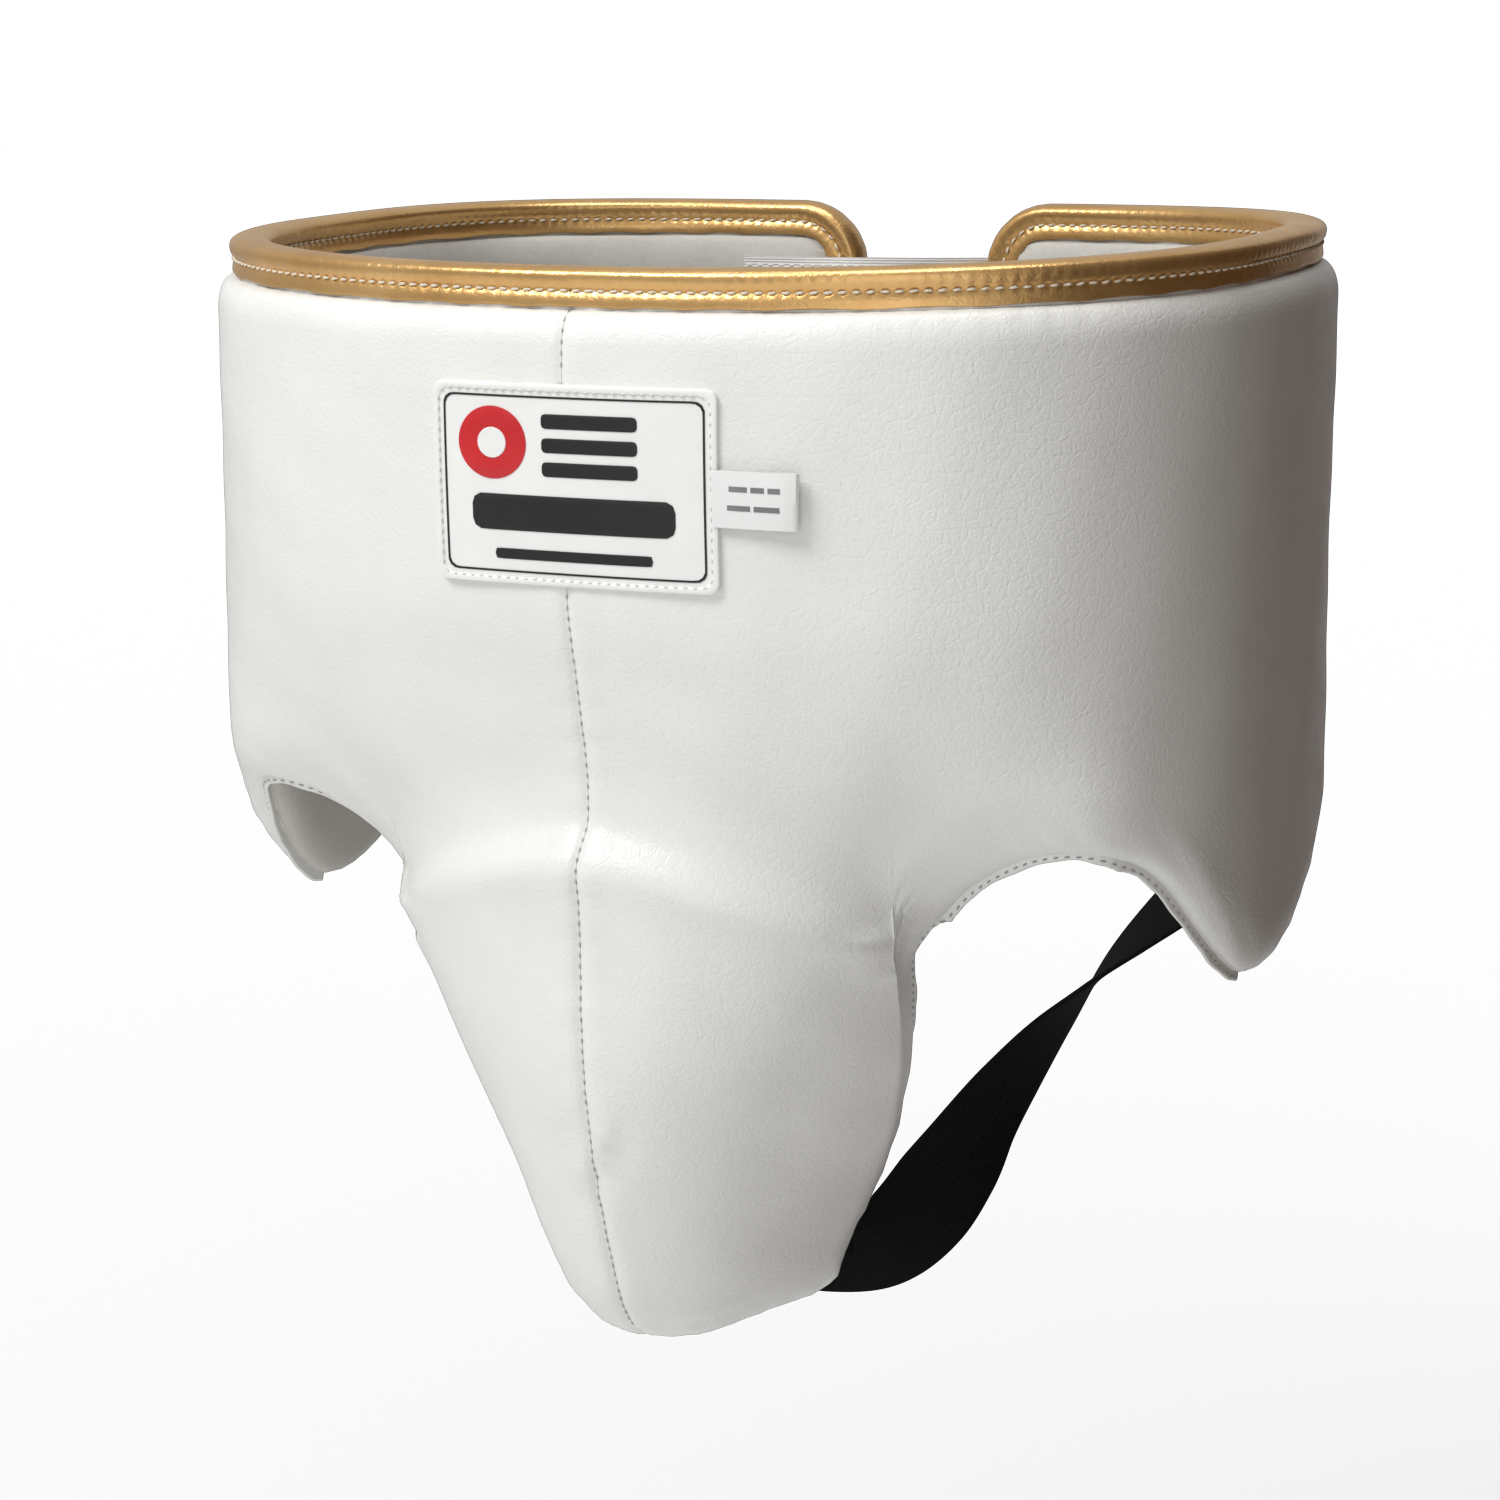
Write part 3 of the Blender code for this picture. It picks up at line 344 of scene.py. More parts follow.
def column(start, end, inward):
    """Points down one column, from the rim to the lower edge."""
    height = start[1] - end[1]
    first = start - np.array([0, COLUMN_START_PULL * height])
    second = end + inward * min(COLUMN_END_PULL * height, COLUMN_TURN)
    t = np.linspace(0, 1, 400)[:, None]
    line = (1 - t) ** 3 * start + 3 * (1 - t) ** 2 * t * first + 3 * (1 - t) * t**2 * second + t**3 * end
    length = np.concatenate([[0.0], np.cumsum(np.hypot(*np.diff(line, axis=0).T))])
    ridge = ridge_height(line[:, 0]) - RIDGE_WIDTH / 2
    crossing = np.append(length[line[:, 1] <= ridge], length[-1])[0]
    crossing = min(crossing, length[-1] - RIDGE_TO_EDGE)
    upper = np.linspace(RIM_ROWS[-1], crossing, RIDGE_ROW - len(RIM_ROWS) + 2)[1:]
    below = np.linspace(crossing, length[-1] - HEM_ROWS[0], ROWS - RIDGE_ROW - len(HEM_ROWS) + 1)[1:-1]
    stops = np.concatenate([RIM_ROWS, upper, below, length[-1] - np.array(HEM_ROWS)])
    stops = np.interp(ROW_NUMBERS, np.arange(ROWS), stops)
    return np.stack([np.interp(stops, length, line[:, 0]), np.interp(stops, length, line[:, 1])], -1)


def pattern():
    """Columns of pattern points, with their distances from the rim and from the lower edge."""
    lower = lower_edge()
    heading = np.gradient(lower, axis=0)
    heading /= np.hypot(*heading.T)[:, None]
    inward = np.stack([-heading[:, 1], heading[:, 0]], -1)
    inward[0] = (0, 1)
    inward[FLEX_AT:] = (0, 1)
    ends = zip(upper_edge(lower), lower, inward)
    columns = np.array([column(*end) for end in ends])
    columns[0, :, 0] = 0.0
    s, z = columns[..., 0], columns[..., 1]
    steps = np.hypot(*np.moveaxis(np.diff(columns, axis=1), -1, 0))
    hem = np.concatenate([np.cumsum(steps[:, ::-1], axis=1)[:, ::-1], np.zeros((len(lower), 1))], axis=1)
    side, down, radius = WING_END - s, RIM - z, WING_CORNER_RADIUS
    in_corner = (side < radius) & (down < radius)
    rim = np.where(in_corner, radius - np.hypot(radius - side, radius - down), np.minimum(side, down))
    return columns, np.maximum(rim, 0.0), hem


FLEX_AT = int(np.searchsorted(COLUMN_NUMBERS, FLEX))
LOBE_AT = int(np.searchsorted(COLUMN_NUMBERS, LOBE))
COLUMNS, RIM_DISTANCE, HEM_DISTANCE = pattern()


def rounding(distance, reach):
    """1 at an edge, falling to 0 at reach along a quarter round."""
    return 1 - np.sqrt(1 - (1 - np.clip(distance / reach, 0, 1)) ** 2)


def wall_depths():
    """Depths of the cover's outside and of the lining's inside at every pattern point."""
    edge_s = COLUMNS[:, -1, 0][:, None]
    hem_depth = np.interp(edge_s, HEM_S, HEM_DEPTH)
    rim = rounding(RIM_DISTANCE - BOUND_DEPTH, RIM_ROUNDING - BOUND_DEPTH)
    hem = rounding(HEM_DISTANCE, np.interp(edge_s, HEM_S, HEM_WIDTH))
    wall = WALL * (1 - (1 - TIP_WALL_SHARE) * smooth((TIP_WALL_TOP - COLUMNS[..., 1]) / TIP_WALL_BAND))
    cover = np.maximum(RIM_COVER_DEPTH * rim, hem_depth * hem)
    lining = wall + (hem_depth + HEM_THICKNESS - wall) * hem
    return cover, np.where(rim > 0, np.minimum(lining, wall - (WALL - RIM_LINING_DEPTH) * rim), lining)


COVER_DEPTH, LINING_DEPTH = wall_depths()


# ---------------------------------------------------------------- meshes

CENTRE_GAP = 0.00008
STITCH_SIDES = 6
STITCH_PITCH = 0.0040
# Seams: stitch length from hole to hole, share of it that shows, thread radius, lean, share sunk in.
BINDING_SEAM = (STITCH_PITCH, 0.70, 0.00046, 0.10, 0.3)
FLANGE_SEAM = (0.0036, 0.62, 0.00032, 0.12, 0.25)
CENTRE_SEAM = (0.0033, 0.55, 0.00030, 0.0, 0.3)
LABEL_SEAM = (0.0030, 0.62, 0.00030, 0.0, 0.2)
ELASTIC_TACK = (0.0032, 0.62, 0.00036, 0.0, 0.3)
TAPE_SEAM = (0.0040, 0.6, 0.00034, 0.0, 0.3)
CLOSURE_TACK = (0.0034, 0.6, 0.00036, 0.0, 0.3)


FOLD_CURVE = 6.0
# Small folds in the leather: place on the pattern, half length, width, angle, height.
FOLDS = (
    (0.0040, -0.272, 0.014, 0.0024, 0.95, 0.00075),
    (-0.0060, -0.283, 0.012, 0.0022, -0.80, 0.00065),
    (-0.0100, -0.262, 0.010, 0.0020, 0.60, 0.00050),
    (0.0900, -0.2000, 0.012, 0.0024, 0.15, -0.00080),
    (-0.0880, -0.2020, 0.014, 0.0026, -0.30, -0.00100),
    (-0.0980, -0.2180, 0.010, 0.0030, -0.50, -0.00120),
    (0.0960, -0.2120, 0.008, 0.0020, 0.20, -0.00045),
    (0.0300, -0.330, 0.012, 0.0024, 0.20, 0.00060),
    (-0.0350, -0.328, 0.012, 0.0024, -0.30, 0.00060),
)


def bell(offset, width):
    """1 at no offset, falling away evenly to both sides."""
    return np.exp(-((offset / width) ** 2))


def ripple(at, length, sway, rate):
    """A row of waves of about this length that drift a little along it."""
    return np.cos(2 * math.pi * at / length + sway * np.sin(at * rate))


def relief(s, z, rim, hem):
    """How far the stretched leather stands out of its smooth shape, in metres."""
    far = np.abs(s)
    soft = 0.00035 * np.sin(s * 61 + 1.3) * np.sin(z * 47 + 0.6 + s * 9)
    soft = soft + 0.00022 * np.sin(s * 133 + z * 71) * np.sin(z * 119 - s * 37 + 2.0)
    puckers = 0.00022 * ripple(s, 0.0083, 1.7, 23) * bell(rim - 0.0105, 0.0045)
    along = s * 0.8 + z * 0.6
    hem_puckers = 0.00030 * ripple(along, 0.0115, 2.1, 31) * bell(hem - 0.006, 0.006)
    seam = 0.0003 * bell(far - 0.005, 0.004) - 0.0008 * bell(far, 0.0013)
    fade = 1 - smooth((far - 0.084) / 0.020)
    over = z - ridge_height(s)
    ridge = (0.0018 * bell(over + 0.011, 0.0100) - 0.0016 * bell(over - 0.012, 0.016)) * fade
    below_label = smooth((-0.085 - z) / 0.03)
    seam_puckers = 0.00025 * ripple(z, 0.0125, 1.4, 41) * bell(far - 0.004, 0.004)
    folds = 0.0
    for s0, z0, length, width, angle, height in FOLDS:
        u = (s - s0) * math.cos(angle) + (z - z0) * math.sin(angle)
        v = -(s - s0) * math.sin(angle) + (z - z0) * math.cos(angle) - FOLD_CURVE * u * u
        folds = folds + height * bell(u, length) * (v / width) * np.exp(0.5 - 0.5 * (v / width) ** 2)
    return soft + puckers + hem_puckers + seam + seam_puckers * below_label + ridge + folds


def make(name, points, faces, look, uv=None, sharp=40):
    """A mesh object, with its faces turned outwards and a UV map in metres."""
    mesh = bpy.data.meshes.new(name)
    mesh.from_pydata(np.asarray(points, float).tolist(), [], faces)
    if uv is not None:
        layer = mesh.uv_layers.new(name="pattern")
        loops = np.empty(len(mesh.loops), np.int32)
        mesh.loops.foreach_get("vertex_index", loops)
        layer.data.foreach_set("uv", np.asarray(uv, np.float32)[loops].ravel())
    mesh.materials.append(look)
    bm = bmesh.new()
    bm.from_mesh(mesh)
    bmesh.ops.recalc_face_normals(bm, faces=bm.faces[:])
    if bm.calc_volume(signed=True) < 0:
        bmesh.ops.reverse_faces(bm, faces=bm.faces[:])
    bm.to_mesh(mesh)
    bm.free()
    mesh.shade_smooth()
    mesh.set_sharp_from_angle(angle=math.radians(sharp))
    made = bpy.data.objects.new(name, mesh)
    bpy.context.scene.collection.objects.link(made)
    return made


def grid_solid(outer, inner, flat):
    """Points, faces and pattern coordinates of a closed slab between two grids."""
    n, m = outer.shape[:2]
    index = np.arange(n * m).reshape(n, m)
    top = np.stack([index[:-1, :-1], index[1:, :-1], index[1:, 1:], index[:-1, 1:]], -1).reshape(-1, 4)
    rim = np.concatenate([index[:-1, 0], index[-1, :-1], index[:0:-1, -1], index[0, :0:-1]])
    ahead = np.roll(rim, -1)
    faces = top.tolist() + (top[:, ::-1] + n * m).tolist()
    faces += np.stack([ahead, rim, rim + n * m, ahead + n * m], -1).tolist()
    points = np.concatenate([outer.reshape(-1, 3), inner.reshape(-1, 3)])
    uv = np.concatenate([flat.reshape(-1, 2)] * 2)
    return points, faces, uv


def layer(side, first, last, top, bottom, outer_depth, inner_depth, raised=False, shrink=0.0):
    """One layer of the wall on one side, between two depths, over a block of columns and rows."""
    block = (slice(first, last + 1), slice(top, bottom + 1))
    s, z = COLUMNS[block][..., 0] * side, COLUMNS[block][..., 1]
    grids = []
    for depth in (outer_depth[block], inner_depth[block]):
        if raised:
            depth = depth - relief(s, z, RIM_DISTANCE[block], HEM_DISTANCE[block])
        grid = below_skin(s, z, depth)
        if first == 0:
            grid[0, :, 0] = side * CENTRE_GAP
        grids.append(grid)
    if shrink:
        for grid in grids:
            for edge, beside in ((0, 1), (-1, -2)):
                grid[edge] += (grid[beside] - grid[edge]) * shrink
                grid[:, edge] += (grid[:, beside] - grid[:, edge]) * shrink
    return grid_solid(*grids, np.stack([s, z], -1))


def loft(rings, closed_ends=True):
    """Points and faces of a solid through rings of points."""
    rings = np.array(rings)
    count, size = rings.shape[:2]
    index = np.arange(count * size).reshape(count, size)
    after = np.roll(index, -1, axis=1)
    faces = np.stack([after[:-1], index[:-1], index[1:], after[1:]], -1).reshape(-1, 4).tolist()
    if closed_ends:
        faces += [index[0].tolist(), index[-1, ::-1].tolist()]
    return rings.reshape(-1, 3), faces


def lengths(path):
    steps = np.linalg.norm(np.diff(path, axis=0), axis=1)
    return np.concatenate([[0.0], np.cumsum(steps)])


def resampled(path, at):
    own = lengths(path)
    return np.stack([np.interp(at, own, column) for column in path.T], -1)


def headings(path):
    along = np.gradient(path, axis=0)
    return along / np.linalg.norm(along, axis=1)[:, None]


def stitches(name, path, normals, look, seam, thread):
    """A row of stitches along a path on a surface, each a small rounded length of thread."""
    pitch, share, radius, tilt, sink = seam
    own = lengths(path)
    count = int(own[-1] / pitch)
    centres_at = (np.arange(count) + 0.5) * pitch
    centres_at = centres_at[centres_at < own[-1] - pitch * 0.4]
    centres = resampled(path, centres_at)
    along = resampled(path, centres_at + pitch * 0.3) - resampled(path, centres_at - pitch * 0.3)
    along /= np.linalg.norm(along, axis=1)[:, None]
    up = np.stack([np.interp(centres_at, own, column) for column in np.asarray(normals).T], -1)
    up -= along * (up * along).sum(1)[:, None]
    up /= np.linalg.norm(up, axis=1)[:, None]
    across = np.cross(up, along)
    along = along * math.cos(tilt) + across * math.sin(tilt)
    across = np.cross(up, along)
    half = pitch * share / 2
    t = np.array([-1.0, -0.86, -0.5, 0.0, 0.5, 0.86, 1.0])
    fat = np.sqrt(np.clip(1 - np.abs(t) ** 3.2, 0.03, 1))
    arch = np.clip(1 - t**2, 0, 1)
    turn = np.arange(STITCH_SIDES) * 2 * math.pi / STITCH_SIDES
    points, faces = [], []
    size = len(t) * STITCH_SIDES
    wobble = np.random.default_rng(thread).normal(0, 1, (len(centres), 3))
    for number, (centre, a, c, u) in enumerate(zip(centres, along, across, up)):
        lift = radius * (1 - 2 * sink) * arch - radius * 0.9 * (1 - arch)
        skew = wobble[number, 0] * 0.05
        ring = centre + np.outer(t * half * (1 + 0.04 * wobble[number, 1]), a + c * skew) + np.outer(lift, u)
        rings = ring[:, None] + radius * fat[:, None, None] * (
            np.cos(turn)[None, :, None] * c + 0.8 * np.sin(turn)[None, :, None] * u
        )
        made, cells = loft(rings)
        points.append(made)
        faces += [[p + number * size for p in face] for face in cells]
    return make(name, np.concatenate(points), faces, look, sharp=80)


STRIP_EDGE_ROUND = 0.7  # share of the thickness over which a strip's edges round off
STRIP_STEPS = 11


def strip(path, normals, width_way, width, thickness, crown):
    """A flat band along a path: rings with rounded edges. Returns points, faces, uv."""
    turn = np.linspace(0, math.pi, 5)
    half, thick = width / 2, thickness / 2
    cap = STRIP_EDGE_ROUND * thickness
    right = [(half - cap + cap * math.sin(a), thick * math.cos(a)) for a in turn]
    left = [(-x, -y) for x, y in right]
    fill = np.linspace(1, -1, STRIP_STEPS + 2)[1:-1] * (half - cap)
    section = np.array(
        right + [(x, -thick - crown * (1 - (x / half) ** 2)) for x in fill] + left
        + [(-x, thick + crown * (1 - (x / half) ** 2)) for x in fill]
    )
    rings = path[:, None] + section[None, :, :1] * width_way[:, None]
    rings = rings + section[None, :, 1:] * normals[:, None]
    own = lengths(path)
    uv = np.stack(np.broadcast_arrays(own[:, None], section[None, :, 0]), -1).reshape(-1, 2)
    points, faces = loft(rings)
    return points, faces, uv


# ---------------------------------------------------------------- materials


class Look:
    """A material's nodes, with short calls to add to them."""

    def __init__(self, name, colour, roughness, metallic=0.0, **sockets):
        self.material = bpy.data.materials.new("look_" + name)
        self.material.use_nodes = True
        self.nodes, self.links = self.material.node_tree.nodes, self.material.node_tree.links
        self.shader = self.nodes["Principled BSDF"]
        self.shader.inputs["Base Color"].default_value = (*colour, 1)
        self.shader.inputs["Roughness"].default_value = roughness
        self.shader.inputs["Metallic"].default_value = metallic
        for key, value in sockets.items():
            self.shader.inputs[key.replace("_", " ")].default_value = value
        self.colour, self.height = None, None

    def add(self, kind, inputs=(), **settings):
        node = self.nodes.new("ShaderNode" + kind)
        for key, value in settings.items():
            setattr(node, key, value)
        for key, value in dict(inputs).items():
            if isinstance(value, bpy.types.NodeSocket):
                self.links.new(value, node.inputs[key])
            else:
                node.inputs[key].default_value = value
        return node

    def place(self, uv=False, stretch=(1, 1, 1), turn=0.0):
        source = self.add("TexCoord").outputs["UV" if uv else "Object"]
        node = self.add("Mapping", {"Vector": source, "Scale": stretch, "Rotation": (0, 0, turn)})
        return node.outputs["Vector"]

    def noise(self, scale, detail=3.0, roughness=0.5, at=None, warp=0.0):
        inputs = {"Scale": scale, "Detail": detail, "Roughness": roughness, "Distortion": warp}
        return self.add("TexNoise", {"Vector": at or self.place(), **inputs}).outputs["Fac"]

    def cells(self, scale, at=None, feature="F1", randomness=1.0):
        inputs = {"Vector": at or self.place(), "Scale": scale, "Randomness": randomness}
        return self.add("TexVoronoi", inputs, feature=feature).outputs["Distance"]

    def wave(self, at, scale, distortion=0.0, direction="X"):
        inputs = {"Vector": at, "Scale": scale, "Distortion": distortion}
        return self.add("TexWave", inputs, bands_direction=direction, wave_profile="SIN").outputs["Fac"]

    def math(self, operation, a, b=0.0):
        return self.add("Math", {0: a, 1: b}, operation=operation).outputs[0]

    def spread(self, value, low, high, to_low=0.0, to_high=1.0):
        inputs = {"Value": value, "From Min": low, "From Max": high, "To Min": to_low, "To Max": to_high}
        return self.add("MapRange", inputs).outputs["Result"]

    def mix(self, share, first, second):
        node = self.add("Mix", data_type="RGBA")
        for socket, value in ((0, share), (6, first), (7, second)):
            if isinstance(value, bpy.types.NodeSocket):
                self.links.new(value, node.inputs[socket])
            else:
                node.inputs[socket].default_value = value if socket == 0 else (*value, 1)
        return node.outputs[2]

    def paint(self, colour):
        self.links.new(colour, self.shader.inputs["Base Color"])

    def rough(self, value):
        self.links.new(value, self.shader.inputs["Roughness"])

    def bump(self, height, distance, strength=1.0):
        inputs = {"Height": height, "Distance": distance, "Strength": strength}
        if self.height is not None:
            inputs["Normal"] = self.height
        self.height = self.add("Bump", inputs).outputs["Normal"]
        self.links.new(self.height, self.shader.inputs["Normal"])


def leather(name, light, dark, rough, metallic=0.0, grain=1.0, **sockets):
    """Coated synthetic leather: a fine pebbled grain, faint creases and an uneven sheen."""
    look = Look(name, light, rough[0], metallic, **sockets)
    patches = look.noise(26, 4, 0.55)
    look.paint(look.mix(look.spread(patches, 0.35, 0.72), light, dark))
    pebbles = look.cells(1150)
    warped = look.noise(620, 4, 0.62)
    creases = look.cells(260, feature="DISTANCE_TO_EDGE")
    look.rough(look.spread(look.noise(210, 3), 0.3, 0.7, *rough))
    look.bump(look.spread(creases, 0.0, 0.12), 0.00004 * grain)
    look.bump(warped, 0.00010 * grain)
    look.bump(pebbles, 0.00006 * grain)
    return look.material


def woven(name, light, dark, ribs, cross, rough=0.8, depth=0.00016, **sockets):
    """Narrow woven tape: ribs along it, crossed by the weft, with painted shade darkening the grooves of the
    weave.
    """
    look = Look(name, light, rough, **sockets)
    at = look.place(uv=True)
    lengthwise = look.wave(at, ribs, 0.15, "Y")
    crosswise = look.wave(at, cross, 0.25, "X")
    weave = look.math("MULTIPLY", lengthwise, look.spread(crosswise, 0, 1, 0.45, 1.0))
    fuzz = look.noise(900, 3)
    shade = look.math("ADD", weave, look.math("MULTIPLY", fuzz, 0.5))
    # Colour darkens where the weave and its fuzz sink: painted shade in their grooves.
    look.paint(look.mix(look.spread(shade, 0.1, 1.3), dark, light))
    look.bump(weave, depth)
    look.bump(fuzz, depth * 0.4)
    return look.material


def cloth(name, light, dark, count=900, rough=0.85, depth=0.00010, pile=0.0):
    """Plain woven or brushed fabric, with painted shade where its threads and fuzz sink, over uneven patches
    of tone.
    """
    look = Look(name, light, rough)
    at = look.place(uv=True)
    threads = look.math("ADD", look.wave(at, count, 0.6, "X"), look.wave(at, count, 0.6, "Y"))
    fuzz = look.noise(520, 5, 0.7)
    patches = look.noise(34, 4, 0.55)
    uneven = look.math("ADD", fuzz, look.math("MULTIPLY", patches, 0.6))
    shade = look.math("ADD", look.math("MULTIPLY", threads, 0.12), uneven)
    # The threads and fuzz also set the bump, so their low parts are painted darker as shade; the patches are
    # uneven tone.
    look.paint(look.mix(look.spread(shade, 0.55, 1.25), dark, light))
    look.bump(threads, depth)
    look.bump(fuzz, depth * (1 + 3 * pile))
    return look.material


def plastic(name, light, dark, rough, depth=0.00004):
    """Moulded or printed plastic: almost even, with a faint texture."""
    look = Look(name, light, rough)
    look.paint(look.mix(look.spread(look.noise(60, 4), 0.3, 0.7), light, dark))
    look.rough(look.spread(look.noise(300, 3), 0.3, 0.7, rough * 0.85, min(1.0, rough * 1.2)))
    look.bump(look.noise(700, 4), depth)
    return look.material


def foam_look(name, light, dark):
    """Foam with small open cells, whose pits are painted darker as shade."""
    look = Look(name, light, 0.9)
    # Dark at the middle of each cell, where the bump sinks: painted shade in the pits.
    look.paint(look.mix(look.spread(look.cells(900), 0.1, 0.6), dark, light))
    look.bump(look.cells(900), 0.0003)
    return look.material


def thread_look(name, light, dark):
    """Twisted sewing thread, with painted shade in the grooves of its twist."""
    look = Look(name, light, 0.55, Sheen_Weight=0.3)
    twist = look.wave(look.place(turn=0.7), 900, 0.4, "X")
    # The twist sets both the bump and the colour: its grooves are painted darker as shade.
    look.paint(look.mix(twist, dark, light))
    look.bump(twist, 0.00006)
    return look.material


WHITE = leather("white_leather", (0.82, 0.82, 0.79), (0.78, 0.78, 0.75), (0.30, 0.42), Specular_IOR_Level=0.5)
GOLD = leather("gold_leather", (0.78, 0.49, 0.20), (0.64, 0.37, 0.135), (0.26, 0.36), 0.80, 0.55)
LINING = cloth("lining", (0.70, 0.685, 0.64), (0.58, 0.565, 0.52))
FOAM = foam_look("foam", (0.80, 0.79, 0.72), (0.66, 0.64, 0.56))
CUP_FOAM = foam_look("cup_foam", (0.27, 0.28, 0.30), (0.17, 0.18, 0.20))
CUP = plastic("cup_plastic", (0.86, 0.87, 0.86), (0.80, 0.81, 0.80), 0.34)
ELASTIC = woven(
    "black_elastic", (0.011, 0.011, 0.012), (0.003, 0.003, 0.003), 460, 620, 0.9, 0.00030,
    Specular_IOR_Level=0.08,
)
WEBBING = woven("webbing", (0.82, 0.82, 0.80), (0.62, 0.61, 0.58), 330, 420, 0.7, 0.00022)
HOOK = cloth("hook_tape", (0.74, 0.74, 0.72), (0.50, 0.50, 0.48), 420, 0.7, 0.0004)
LOOP = cloth("loop_tape", (0.72, 0.72, 0.70), (0.55, 0.55, 0.53), 500, 0.95, 0.0003, 1.0)
SATIN = woven("satin", (0.88, 0.88, 0.87), (0.80, 0.80, 0.79), 900, 1500, 0.38, 0.00003)
BADGE = plastic("label_vinyl", (0.86, 0.86, 0.84), (0.82, 0.82, 0.80), 0.36, 0.00003)
INK = plastic("ink_black", (0.006, 0.006, 0.006), (0.010, 0.010, 0.010), 0.55, 0.00002)
RED = plastic("ink_red", (0.62, 0.018, 0.022), (0.52, 0.014, 0.018), 0.38, 0.00002)
GREY_PRINT = plastic("ink_grey", (0.16, 0.16, 0.17), (0.24, 0.24, 0.25), 0.6, 0.00002)
WHITE_THREAD = thread_look("thread_white", (0.86, 0.84, 0.78), (0.66, 0.63, 0.56))
CREAM_THREAD = thread_look("thread_cream", (0.90, 0.84, 0.70), (0.66, 0.56, 0.40))
GREY_THREAD = thread_look("thread_grey", (0.50, 0.49, 0.47), (0.32, 0.31, 0.30))

# ---------------------------------------------------------------- baked pieces, hidden parts and pattern lookups


def bent(obj):
    """Bakes the piece's placement into its mesh."""
    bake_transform(obj)
    return obj


def piece(obj, slot, *nodes):
    if nodes:
        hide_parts(*nodes)
    return obj


def row_at(number):
    return int(np.argmin(np.abs(ROW_NUMBERS - number)))


def column_at(number):
    return int(np.argmin(np.abs(COLUMN_NUMBERS - number)))


LAST = len(COLUMNS) - 1
SIDES = (("left", 1), ("right", -1))

# ---------------------------------------------------------------- wall layers

cover_inner = COVER_DEPTH + COVER_THICKNESS
lining_outer = LINING_DEPTH - LINING_THICKNESS
foam_outer, foam_inner = cover_inner + FOAM_UNDER_COVER, lining_outer - FOAM_OVER_LINING
middle = (COVER_DEPTH + LINING_DEPTH) / 2
shell_outer, shell_inner = middle - CUP_SHELL_THICKNESS / 2, middle + CUP_SHELL_THICKNESS / 2
END_ROW = len(ROW_NUMBERS) - 1

for name, side in SIDES:
    points, faces, uv = layer(side, 0, LAST, 0, END_ROW, COVER_DEPTH, cover_inner, raised=True)
    cover = make(f"cover_{name}", points, faces, WHITE)
    piece(cover, "white_leather", f"front_cover_{name}", f"wing_cover_{name}")
    bent(cover)

    lining_wave = 0.0004 * np.sin(COLUMNS[..., 0] * 90 + side) * np.sin(COLUMNS[..., 1] * 75)
    depths = (lining_outer + lining_wave, LINING_DEPTH + lining_wave)
    points, faces, uv = layer(side, 0, LAST, 0, END_ROW, *depths)
    lining = make(f"lining_{name}", points, faces, LINING, uv)
    piece(lining, "lining_fabric", "front_lining", f"wing_lining_{name}")
    bent(lining)

    for label, first, last, top, bottom in (
        ("upper", 0, LAST, 0, row_at(RIDGE_ROW)),
        ("side", column_at(9), LAST, row_at(RIDGE_ROW), row_at(ROWS - 2)),
        ("tip", 0, column_at(9), row_at(ROWS - 4), row_at(ROWS - 2)),
    ):
        points, faces, uv = layer(side, first, last, top, bottom, foam_outer, foam_inner, shrink=0.1)
        foam = make(f"foam_{label}_{name}", points, faces, FOAM)
        piece(foam, "foam", "front_foam", f"wing_foam_{name}")
        if label == "tip":
            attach(foam, "front")
        else:
            bent(foam)

for node, look, outer, inner in (
    ("cup_cushion", CUP_FOAM, cover_inner + CUSHION_UNDER_COVER, shell_outer - GAP),
    ("cup_shell", CUP, shell_outer, shell_inner),
    ("cup_back_pad", CUP_FOAM, shell_inner + GAP, foam_inner),
):
    block = (slice(0, column_at(9)), slice(row_at(RIDGE_ROW) + 1, row_at(ROWS - 4)))
    s = np.concatenate([-COLUMNS[block][:0:-1, :, 0], COLUMNS[block][..., 0]])
    z = np.concatenate([COLUMNS[block][:0:-1, :, 1], COLUMNS[block][..., 1]])
    depths = [np.concatenate([depth[block][:0:-1], depth[block]]) for depth in (outer, inner)]
    grids = [below_skin(s, z, depth) for depth in depths]
    points, faces, uv = grid_solid(*grids, np.stack([s, z], -1))
    made = make(node.replace("cup_", "inner_cup_"), points, faces, look)
    piece(made, "cup_plastic" if node == "cup_shell" else "cup_foam", node)
    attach(made, "front")

# ---------------------------------------------------------------- binding

EDGE = np.concatenate([COLUMNS[:, 0], COLUMNS[-1, 1:]])
OUT = headings(EDGE)
OUT = np.stack([-OUT[:, 1], OUT[:, 0]], -1)
EDGE_LENGTH = lengths(EDGE)
EDGE_STEPS = np.linspace(0, EDGE_LENGTH[-1], 620)
STITCH_HEIGHT = -0.0036


def edge_frame():
    """Points and outward directions along the bound edge, closely and evenly spaced."""
    point = resampled(EDGE, EDGE_STEPS)
    out = np.stack([np.interp(EDGE_STEPS, EDGE_LENGTH, column) for column in OUT.T], -1)
    return point, out / np.hypot(*out.T)[:, None]


EDGE_POINT, EDGE_OUT = edge_frame()


